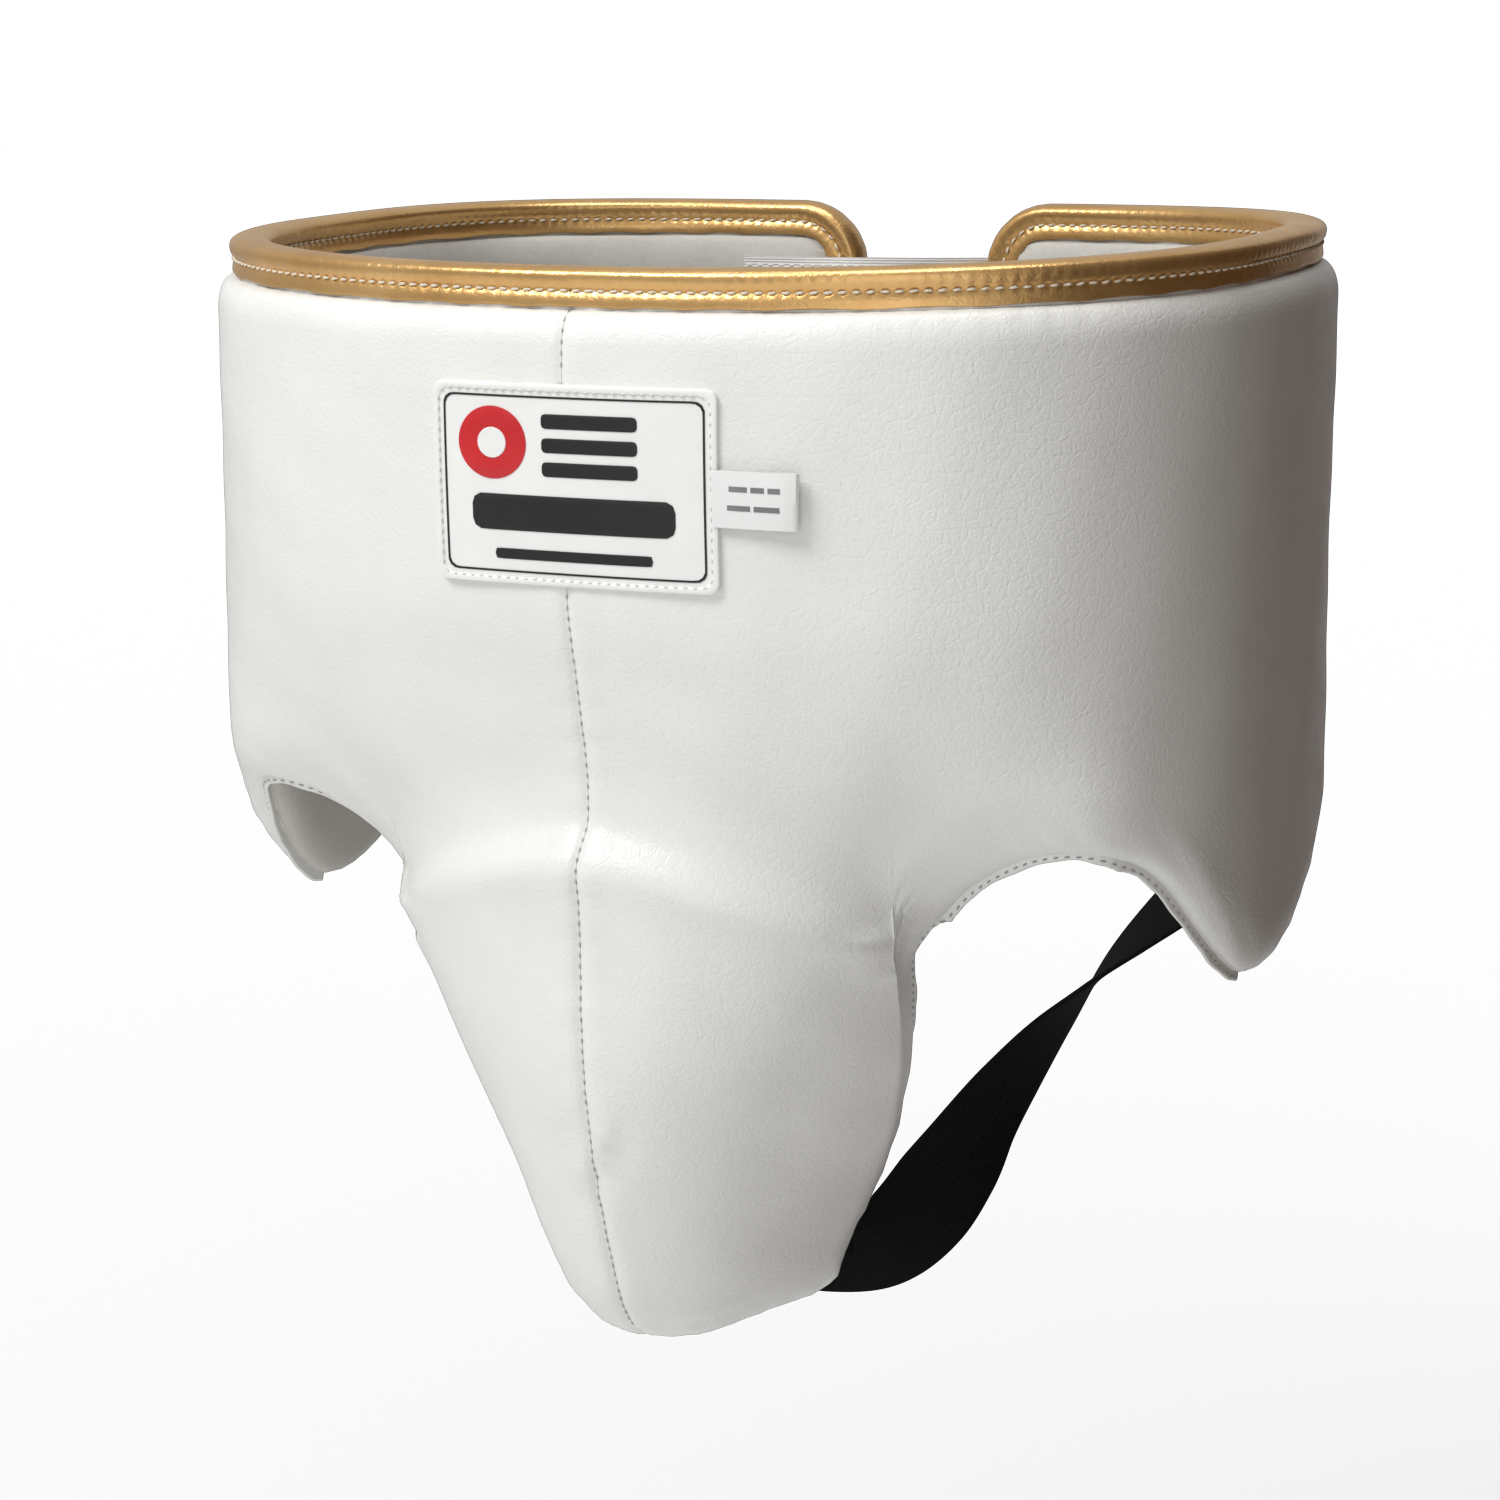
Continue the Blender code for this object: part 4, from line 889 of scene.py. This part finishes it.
def binding_section():
    """Across and above of the binding's outside, from the outer flange over the roll to the inner one."""
    roll = np.linspace(0, math.pi, 15)
    outer = [(0.0050, -0.0084), (0.0056, -0.0082), (0.0058, -0.0074), (0.0057, -0.0060), (0.0055, -0.0048),
             (0.0050, STITCH_HEIGHT), (0.0056, -0.0027), (0.0063, -0.0016), (0.0066, -0.0004)]
    top = [(0.0067 * math.cos(a), 0.0004 + 0.0031 * math.sin(a) ** 0.8) for a in roll]
    inner = [(-x, y) for x, y in outer[::-1]]
    back = [(-0.0049, -0.0083), (-0.0049, 0.0004), (0.0049, 0.0004), (0.0049, -0.0083)]
    return np.array(outer + top + inner), np.array(back)


outside, back = binding_section()
for name, side in SIDES:
    rings = []
    for number, (point, out) in enumerate(zip(EDGE_POINT, EDGE_OUT)):
        s = EDGE_STEPS[number]
        phase = 2 * math.pi * s / STITCH_PITCH
        across, above = outside.T.copy()
        pinch = bell(above - STITCH_HEIGHT, 0.0011) * (0.5 + 0.5 * math.cos(phase)) * 0.00035
        puff = bell(above + 0.0008, 0.0022) * 0.00007 * math.cos(phase + 0.4 * math.sin(s * 37))
        slack = 0.00022 * math.sin(s * 71 + side) * bell(above - 0.0015, 0.003)
        across = across - np.sign(across) * (pinch + puff - slack)
        flange = np.where(above < -0.0062, 0.00025 * math.sin(s * 260 + 2 * math.sin(s * 31)), 0.0)
        above = above + flange
        ring = np.concatenate([np.stack([across, above], -1), back])
        at = point[None] + ring[:, 1:] * out[None]
        rings.append(below_skin(at[:, 0] * side, at[:, 1], SKIN_OFFSET - ring[:, 0]))
    points, faces = loft(rings)
    bind = make(f"binding_{name}", points, faces, GOLD, sharp=55)
    piece(bind, "gold_leather", "front_binding", f"wing_binding_{name}")
    bent(bind)
    for face, across in (("outer", 0.0054), ("inner", -0.0054)):
        at = EDGE_POINT + STITCH_HEIGHT * EDGE_OUT
        path = below_skin(at[:, 0] * side, at[:, 1], np.full(len(at), SKIN_OFFSET - across))
        normals = panel_normal(at[:, 0] * side, at[:, 1]) * np.sign(across)
        title = f"binding_stitches_{face}_{name}"
        row = stitches(title, path, normals, CREAM_THREAD, BINDING_SEAM, 11 + side)
        piece(row, "gold_leather")
        bent(row)

# ---------------------------------------------------------------- stitched flange of the lower edge

TRIM_STEPS = 420
for name, side in SIDES:
    edge = COLUMNS[: LOBE_AT + 1, -1]
    at = np.linspace(0, lengths(edge)[-1], TRIM_STEPS)
    edge = resampled(edge, at)
    way = headings(edge)
    out = np.stack([way[:, 1], -way[:, 0]], -1)
    depth = np.interp(edge[:, 0], HEM_S, HEM_DEPTH) + HEM_THICKNESS / 2
    near = below_skin(edge[:, 0] * side, edge[:, 1], depth)
    probe = edge + out * TRIM_HEIGHT
    away = below_skin(probe[:, 0] * side, probe[:, 1], depth) - near
    away /= np.linalg.norm(away, axis=1)[:, None]
    up = panel_normal(edge[:, 0] * side, edge[:, 1])
    up -= away * (up * away).sum(1)[:, None]
    up /= np.linalg.norm(up, axis=1)[:, None]
    wobble = 0.00025 * np.sin(at * 190 + side) + 0.00015 * np.sin(at * 433)
    turn = np.linspace(-math.pi / 2, math.pi / 2, 7)
    half = TRIM_THICKNESS / 2
    section = [(-0.0016, -half), (-0.0016, half)] + [
        (TRIM_HEIGHT - half + half * math.cos(a), half * math.sin(a)) for a in turn[::-1]
    ]
    rings = [
        near[k] + np.outer([x + (wobble[k] if x > 0 else 0) for x, _ in section], away[k])
        + np.outer([y for _, y in section], up[k]) for k in range(TRIM_STEPS)
    ]
    points, faces = loft(rings)
    trim = make(f"edge_flange_{name}", points, faces, WHITE)
    piece(trim, "white_leather", f"front_edge_trim_{name}", f"wing_edge_trim_{name}")
    bent(trim)
    path = near + away * (0.0012 + TRIM_CLEARANCE) + up * half
    row = stitches(f"flange_stitches_{name}", path, up, GREY_THREAD, FLANGE_SEAM, 14 + side)
    piece(row, "white_leather")
    bent(row)

# ---------------------------------------------------------------- centre seam

seam_z = np.linspace(-0.012, -0.338, 500)
label_top, label_foot = LABEL_CENTRE[1] + LABEL_HEIGHT / 2, LABEL_CENTRE[1] - LABEL_HEIGHT / 2
seam_z = seam_z[(seam_z > label_top + 0.001) | (seam_z < label_foot - 0.001)]
for part, chosen in (("top", seam_z > LABEL_CENTRE[1]), ("long", seam_z < LABEL_CENTRE[1])):
    z = seam_z[chosen]
    rim, hem = RIM - z, z - LOWER_EDGE[0][1]
    depth = np.interp(-z, -COLUMNS[0, :, 1], COVER_DEPTH[0])
    path = below_skin(np.zeros(len(z)), z, depth - relief(np.zeros(len(z)), z, rim, hem) - 0.00015)
    normals = panel_normal(np.zeros(len(z)) + 1e-6, z)
    row = stitches(f"centre_seam_{part}", path, normals, GREY_THREAD, CENTRE_SEAM, 18)
    piece(row, "white_leather")
    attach(row, "front")

# ---------------------------------------------------------------- label


def rounded_outline(width, height, radius, count=24):
    """Points round a rectangle with rounded corners, with extra ones along its long sides."""
    turn = np.linspace(0, math.pi / 2, 9)
    corners = []
    for quarter, (cx, cy) in enumerate(((1, 1), (-1, 1), (-1, -1), (1, -1))):
        a = turn + quarter * math.pi / 2
        x = cx * (width / 2 - radius) + radius * np.cos(a)
        y = cy * (height / 2 - radius) + radius * np.sin(a)
        corners.append(np.stack([x, y], -1))
    loop = np.concatenate([[(width / 2, 0.0)], *corners, [(width / 2, 0.0)]])
    own = lengths(loop)
    return resampled(loop, np.linspace(0, own[-1], 4 * count, endpoint=False))


def plate(name, centre, rings, look, bottom, sharp=40):
    """A solid on the front panel: rings of (outline, height above the skin) from its edge to its middle."""
    loops = [(rings[0][0], bottom)] + list(rings)
    made = []
    for outline, height in loops:
        s, z = centre[0] + outline[:, 0], centre[1] + outline[:, 1]
        made.append(below_skin(s, z, np.full(len(s), -height)))
    points, faces = loft(made, closed_ends=False)
    size = len(made[0])
    last = (len(made) - 1) * size
    for k in range(size // 2):
        rung = [k, k + 1, size - k - 1] + ([size - k] if k else [])
        rung = list(dict.fromkeys(rung))
        faces.append(rung)
        faces.append([last + p for p in rung[::-1]])
    return make(name, points, faces, look, sharp=sharp)


def scaled(outline, inset):
    """The outline drawn in by an inset, keeping its proportions."""
    half = np.abs(outline).max(0)
    return outline * (1 - inset / half)


LABEL_OUTLINE = rounded_outline(LABEL_WIDTH, LABEL_HEIGHT, 0.0034, 40)
# The label's raised rim, from its edge inwards, as inset and height above the skin.
profile = [
    (0.0, 0.0004), (0.0, 0.0012), (0.00025, 0.00165), (0.0006, 0.0018), (0.0016, 0.0018), (0.0020, 0.0016),
    (0.0023, 0.00125), (0.0030, 0.0012),
]
profile += [(x, 0.0012) for x in np.linspace(0.0045, 0.0290, 12)]
label = plate("label", LABEL_CENTRE, [(scaled(LABEL_OUTLINE, i), h) for i, h in profile], BADGE, -0.0002, 35)
piece(label, "label_vinyl", "label_patch")
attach(label, "front")


def on_label(outline, height):
    """Points of an outline round the label's centre, at a height above the skin."""
    s, z = LABEL_CENTRE[0] + outline[:, 0], LABEL_CENTRE[1] + outline[:, 1]
    return below_skin(s, z, np.full(len(outline), -height))


def closed_loft(rings):
    """Points and faces of a ring-shaped solid, whose last section meets its first."""
    points, faces = loft(np.concatenate([rings, rings[:1]]), closed_ends=False)
    count = len(points) - rings.shape[1]
    return points[:count], [[p % count for p in face] for face in faces]


# Section of the printed line round the label, as inset and height.
LINE_SECTION = ((0.0036, 0.0010), (0.0036, 0.0014), (0.0042, 0.0014), (0.0042, 0.0010))
rings = np.stack([on_label(scaled(LABEL_OUTLINE, i), h) for i, h in LINE_SECTION], 1)
border = make("label_line", *closed_loft(rings), INK)
piece(border, "label_black", "label_border")
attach(border, "front")

outline = scaled(LABEL_OUTLINE, 0.0020)
outline = np.concatenate([outline, outline[:1]])
path = on_label(outline, 0.0016)
normals = panel_normal(LABEL_CENTRE[0] + outline[:, 0], LABEL_CENTRE[1] + outline[:, 1])
row = stitches("label_stitches", path, normals, WHITE_THREAD, LABEL_SEAM, 20)
piece(row, "label_vinyl")
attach(row, "front")

FACE = 0.0012  # the label's face above the skin


def printed(name, offset, outline, look, slot, *nodes, raise_by=0.00028):
    """A flat print on the label's face, a little raised."""
    steps = (0.0, 0.0, 0.00015)
    heights = (FACE, FACE + raise_by * 0.7, FACE + raise_by)
    small = np.abs(outline).max(0).min()
    rings = [(scaled(outline, i), h) for i, h in zip(steps, heights)]
    rings += [(scaled(outline, small * k), FACE + raise_by) for k in (0.4, 0.75)]
    centre = (LABEL_CENTRE[0] + offset[0], LABEL_CENTRE[1] + offset[1])
    made = plate(name, centre, rings, look, FACE - 0.0003)
    piece(made, slot, *nodes)
    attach(made, "front")


turn = np.linspace(0, 2 * math.pi, 64, endpoint=False)
disc = np.stack([np.cos(turn), np.sin(turn)], -1)
printed("emblem", EMBLEM_OFFSET, disc * EMBLEM_RADIUS, RED, "label_red", "label_emblem")
printed("emblem_spot", EMBLEM_OFFSET, disc * EMBLEM_RADIUS * 0.42, BADGE, "label_vinyl", raise_by=0.00050)
for number, (offset, width, height) in enumerate(LABEL_BARS, 1):
    outline = rounded_outline(width, height, height * 0.28, 16)
    printed(f"plain_bar_{number}", offset, outline, INK, "label_black", f"label_bar_{number}")

# ---------------------------------------------------------------- folded tag at the label's edge

tag_start = LABEL_CENTRE[0] + LABEL_WIDTH / 2 - 0.0015
# The tag's fold seen from its end: out along its lower layer and back along its upper one.
knots = np.array((
    (0.0, 0.0004), (0.003, 0.0006), (0.008, 0.0008), (0.014, 0.0013), (0.0195, 0.0020), (0.0228, 0.0027),
    (0.0243, 0.0037), (0.0236, 0.0047), (0.0205, 0.0049), (0.0150, 0.0042), (0.0090, 0.0034),
    (0.0040, 0.0028), (0.0, 0.0026),
))
fine = resampled(knots, np.linspace(0, lengths(knots)[-1], 60))
z_lines = np.linspace(-TAG_HEIGHT / 2, TAG_HEIGHT / 2, 12)
sag = 1 + 0.10 * (z_lines / (TAG_HEIGHT / 2)) - 0.06 * (z_lines / (TAG_HEIGHT / 2)) ** 2


def tag_grid(lift):
    """One face of the folded tag, at a lift off its middle."""
    s = tag_start + fine[:, :1] * (1 + 0.015 * z_lines[None] / TAG_HEIGHT)
    z = TAG_CENTRE_Z + z_lines[None] - 0.02 * fine[:, :1]
    way = headings(fine)
    normal = np.stack([way[:, 1], -way[:, 0]], -1) * lift
    height = (fine[:, 1:] + normal[:, 1:]) * sag[None]
    return below_skin(s + normal[:, :1], np.broadcast_to(z, s.shape), -height)


flat = np.stack(np.broadcast_arrays(fine[:, :1], z_lines[None]), -1)
points, faces, uv = grid_solid(tag_grid(0.00016), tag_grid(-0.00016), flat)
tag = make("folded_tag", points, faces, SATIN, uv)
piece(tag, "satin_tag", "side_tag")
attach(tag, "front")
# Plain dashes where the tag's words would be: height of the row, then start and length of each.
TAG_DASHES = (
    (0.0032, ((0.0050, 0.0052), (0.0112, 0.0038), (0.0160, 0.0034))),
    (-0.0024, ((0.0044, 0.0066), (0.0120, 0.0072))),
)
upper_layer = knots[::-1][:5]
dashes, cells = [], []
for row_z, starts in TAG_DASHES:
    for start, length in starts:
        s = tag_start + np.linspace(start, start + length, 8)[:, None] + np.zeros((1, 3))
        z = TAG_CENTRE_Z + row_z - 0.02 * (s - tag_start) + np.array([-0.0008, 0.0, 0.0008])[None]
        top = np.interp(s - tag_start, upper_layer[:, 0], upper_layer[:, 1])
        top = top * (1 + 0.10 * row_z / (TAG_HEIGHT / 2)) + 0.00022
        grids = below_skin(s, z, -top), below_skin(s, z, -top + 0.0003)
        made, faces, uv = grid_solid(*grids, np.stack([s, z], -1))
        before = sum(len(dash) for dash in dashes)
        cells += [[p + before for p in face] for face in faces]
        dashes.append(made)
marks = make("tag_dashes", np.concatenate(dashes), cells, GREY_PRINT)
piece(marks, "satin_tag")
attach(marks, "front")

# ---------------------------------------------------------------- leg straps


ROUTE_STEPS = 24


def smooth_route(points, steps):
    """A smooth curve through the points (Catmull-Rom), evenly stepped."""
    way = np.array(points, float)
    way = np.vstack([2 * way[0] - way[1], way, 2 * way[-1] - way[-2]])
    dense = []
    for a, b, c, d in zip(way, way[1:], way[2:], way[3:]):
        t = np.linspace(0, 1, ROUTE_STEPS, endpoint=False)[:, None]
        bend = (2 * a - 5 * b + 4 * c - d) * t**2 + (3 * b - a - 3 * c + d) * t**3
        dense.append(0.5 * (2 * b + (c - a) * t + bend))
    every = max(1, ROUTE_STEPS * (len(points) - 1) // steps)
    return np.vstack(dense + [way[-2:-1]])[::every]


for name, side in SIDES:
    way, across = (smooth_route(column, 200) for column in zip(*LEG_STRAP_ROUTE))
    way, across = way * (side, 1, 1), across * (side, 1, 1)
    along = headings(way)
    across -= along * (across * along).sum(1)[:, None]
    across /= np.linalg.norm(across, axis=1)[:, None]
    normals = np.cross(along, across)
    points, faces, uv = strip(way, normals, across, STRAP_WIDTH, STRAP_THICKNESS, crown=0.0002)
    strap = make(f"elastic_{name}", points, faces, ELASTIC, uv)
    piece(strap, "black_elastic", f"leg_strap_{name}")
    wing = "left_wing" if side > 0 else "right_wing"
    x, y, z = LEG_STRAP_ROUTE[-2][0]
    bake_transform(strap)
    for end, place in (("tip", 0.012), ("wing", float(lengths(way)[-1]) - 0.010)):
        for face, sign in (("a", 1), ("b", -1)):
            k = int(np.argmin(np.abs(lengths(way) - place)))
            up = normals[k] * sign
            path = way[k] + np.outer(np.linspace(-0.44, 0.44, 50) * STRAP_WIDTH, across[k])
            path = path + up * STRAP_THICKNESS * 0.62
            title = f"elastic_tack_{end}_{face}_{name}"
            row = stitches(title, path, np.tile(up, (50, 1)), WHITE_THREAD, ELASTIC_TACK, 34)
            piece(row, "black_elastic")
            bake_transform(row)

# ---------------------------------------------------------------- closure at the back


def wing_surface(s, z, depth):
    """A point on the wing's wall."""
    s, z = np.broadcast_arrays(np.asarray(s, float), np.asarray(z, float))
    return below_skin(s, z, np.broadcast_to(np.asarray(depth, float), s.shape))


half = CLOSURE_THICKNESS / 2
level = CLOSURE_TOP - CLOSURE_HEIGHT / 2
sewn_s = np.linspace(CLOSURE_SEWN, WING_END - CLOSURE_ROOT_INSET, 14)
sewn = wing_surface(sewn_s, level, WALL + 0.0004 + half) * (-1, 1, 1)
laid_s = np.linspace(WING_END - CLOSURE_LANDING, CLOSURE_FREE_END, 26)
laid = wing_surface(laid_s, level, CLOSURE_DEPTH - half)
plan = np.concatenate([sewn[:, :2], [CLOSURE_HINGE], CLOSURE_CROSSING, laid[:, :2]])
plan = smooth_route(np.concatenate([plan, np.zeros((len(plan), 1))], 1), 260)[:, :2]
own = lengths(plan)
plan = resampled(plan, np.linspace(0, own[-1], 170))
own = lengths(plan)
along = headings(plan)
rows = np.linspace(-0.5, 0.5, 22)
grids = []
for lift in (half, -half):
    pucker = 0.0007 * np.sin(rows[None] * 21) * bell(own[:, None] - 0.034, 0.012)
    push = lift + pucker
    x = plan[:, :1] + along[:, 1:2] * push
    y = plan[:, 1:2] - along[:, :1] * push
    z = level + rows[None] * CLOSURE_HEIGHT + np.zeros_like(x)
    grids.append(np.stack([x, y, z], -1))
flat = np.stack(np.broadcast_arrays(own[:, None], rows[None] * CLOSURE_HEIGHT), -1)
points, faces, uv = grid_solid(*grids, flat)
band = make("closure_band", points, faces, WEBBING, uv)
piece(band, "white_webbing", "closure_root", "closure_strap")
hinge = np.array(CLOSURE_HINGE)
away = np.array(CLOSURE_CROSSING[0]) - hinge
away /= np.hypot(*away)
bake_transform(band)


def tape(name, start, end, bottom, top, near, far, look, slot, node, body, side=1):
    """A rectangle of tape on a wing's wall."""
    s = np.linspace(start, end, 36)[:, None] + np.zeros((1, 24))
    z = np.linspace(bottom, top, 24)[None] + np.zeros((36, 1))
    edge = np.minimum(np.minimum(s - start, end - s), np.minimum(z - bottom, top - z))
    thin = 0.35 * (near - far) * np.exp(-edge / 0.0008)
    grids = wing_surface(s, z, near - thin), wing_surface(s, z, far)
    points, faces, uv = grid_solid(*grids, np.stack([s, z], -1))
    made = make(name, points * (side, 1, 1), faces, look, uv)
    piece(made, slot, node)
    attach(made, body)


low, high = CLOSURE_TOP - CLOSURE_HEIGHT + PATCH_MARGIN, CLOSURE_TOP - PATCH_MARGIN
tape(
    "loop_pile", *LOOP_PLACE, low, high, -GAP - PATCH_THICKNESS, -GAP + 0.0002,
    LOOP, "loop_tape", "loop_patch", "left_wing",
)
tape(
    "hook_face", *HOOK_PLACE, low, high, CLOSURE_DEPTH, CLOSURE_DEPTH + GAP + PATCH_THICKNESS,
    HOOK, "hook_tape", "hook_patch", "closure_strap",
)
for name, side in SIDES:
    wing = "left_wing" if side > 0 else "right_wing"
    tape(
        f"inside_strip_{name}", *STRIP_PLACE, STRIP_BOTTOM, STRIP_TOP,
        WALL - 0.0002, WALL + GAP + STRIP_THICKNESS,
        LINING, "lining_fabric", f"lining_strip_{name}", wing, side,
    )
    for edge, s in (("a", STRIP_PLACE[0] + 0.002), ("b", STRIP_PLACE[1] - 0.002)):
        z = np.linspace(STRIP_BOTTOM + 0.002, STRIP_TOP - 0.002, 80)
        path = wing_surface(np.full(80, s), z, WALL + GAP + STRIP_THICKNESS) * (side, 1, 1)
        normals = -panel_normal(np.full(80, s), z) * (side, 1, 1)
        row = stitches(f"strip_stitches_{name}_{edge}", path, normals, WHITE_THREAD, TAPE_SEAM, 24)
        piece(row, "lining_fabric")
        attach(row, wing)

for label, height in (("top", 0.44), ("low", -0.44)):
    for face, sign in (("inner", 1), ("outer", -1)):
        normals = np.stack([-along[:, 1] * sign, along[:, 0] * sign, np.zeros(len(plan))], -1)
        z = np.full((len(plan), 1), level + height * CLOSURE_HEIGHT)
        path = np.concatenate([plan, z], 1) + normals * half
        row = stitches(f"closure_stitches_{label}_{face}", path, normals, WHITE_THREAD, TAPE_SEAM, 28)
        piece(row, "white_webbing")
        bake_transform(row)
for label, at in (("root", 0.006), ("seam", 0.030)):
    for face, sign in (("inner", 1), ("outer", -1)):
        k = int(np.argmin(np.abs(own - at)))
        normal = np.array([-along[k, 1] * sign, along[k, 0] * sign, 0.0])
        z = np.linspace(-0.42, 0.42, 60) * CLOSURE_HEIGHT + level
        path = np.stack([np.full(60, plan[k, 0]), np.full(60, plan[k, 1]), z], -1) + normal * half
        normals = np.tile(normal, (60, 1))
        row = stitches(f"closure_tack_{label}_{face}", path, normals, WHITE_THREAD, CLOSURE_TACK, 30)
        piece(row, "white_webbing")
        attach(row, "right_wing")

# ---------------------------------------------------------------- stage, light and camera


def stage_plane(name, corners, look):
    """A flat card of the studio, from its four corners."""
    mesh = bpy.data.meshes.new(name)
    mesh.from_pydata(corners, [], [(0, 1, 2, 3)])
    mesh.materials.append(look)
    made = bpy.data.objects.new(name, mesh)
    bpy.context.scene.collection.objects.link(made)
    return made


floor_look = Look("floor", (0.90, 0.90, 0.90), 0.6).material
FLOOR = -0.80
FLOOR_REACH = 40
corners = [(x * FLOOR_REACH, y * FLOOR_REACH, FLOOR) for x, y in ((-1, -1), (1, -1), (1, 1), (-1, 1))]
floor = stage_plane("floor", corners, floor_look)
floor.is_shadow_catcher = True
glow = {"Emission_Color": (0.10, 0.045, 0.015, 1), "Emission_Strength": 0.35}
flag_look = Look("dark_flag", (0.020, 0.013, 0.008), 0.9, **glow).material
# A dark card beyond the wearer's left, out of the camera's sight, which shades that side of the guard.
corners = [(0.30, -0.22, -0.60), (0.42, 1.2, -0.60), (0.42, 1.2, 0.70), (0.30, -0.22, 0.70)]
flag = stage_plane("flag", corners, flag_look)
flag.visible_camera = False


def area_light(name, place, target, size, watts):
    """A soft white light that faces its target."""
    data = bpy.data.lights.new(name, "AREA")
    data.shape, data.size, data.size_y = "RECTANGLE", *size
    data.energy = watts
    made = bpy.data.objects.new(name, data)
    made.location = place
    made.rotation_euler = (Vector(target) - Vector(place)).to_track_quat("-Z", "Y").to_euler()
    bpy.context.scene.collection.objects.link(made)


area_light("key", (-0.75, -1.35, 1.55), (0, 0, -0.15), (0.9, 0.9), 32)
area_light("top", (0.1, -0.1, 1.6), (0, 0, -0.1), (0.8, 0.8), 12)
area_light("fill", (0.6, -1.6, -0.1), (0, 0, -0.2), (1.0, 1.4), 3.5)

WORLD_LIGHT = 0.43  # the camera sees the world itself as plain white
world = bpy.data.worlds.new("studio")
world.use_nodes = True
nodes, links = world.node_tree.nodes, world.node_tree.links
background = nodes["Background"]
ray = nodes.new("ShaderNodeLightPath")
seen = nodes.new("ShaderNodeMapRange")
seen.inputs["To Min"].default_value = WORLD_LIGHT
links.new(ray.outputs["Is Camera Ray"], seen.inputs["Value"])
links.new(seen.outputs["Result"], background.inputs["Strength"])
background.inputs["Color"].default_value = (1, 1, 1, 1)
bpy.context.scene.world = world
bpy.context.scene.view_settings.view_transform = "Standard"

CAMERA_DISTANCE = 1.15
CAMERA_TURN = math.radians(25.0)
CAMERA_RISE = 0.18797336
target = Vector((0, 0, -0.17))
across = math.sin(CAMERA_TURN) * math.cos(CAMERA_RISE)
towards = -math.cos(CAMERA_TURN) * math.cos(CAMERA_RISE)
back = Vector((across, towards, math.sin(CAMERA_RISE)))
data = bpy.data.cameras.new("camera")
data.sensor_width, data.lens = 36.0, 84.13
data.shift_x, data.shift_y = -0.01147, 0.0035
camera = bpy.data.objects.new("camera", data)
camera.location = target + back * CAMERA_DISTANCE
camera.rotation_euler = (-back).to_track_quat("-Z", "Y").to_euler()
bpy.context.scene.collection.objects.link(camera)
bpy.context.scene.camera = camera
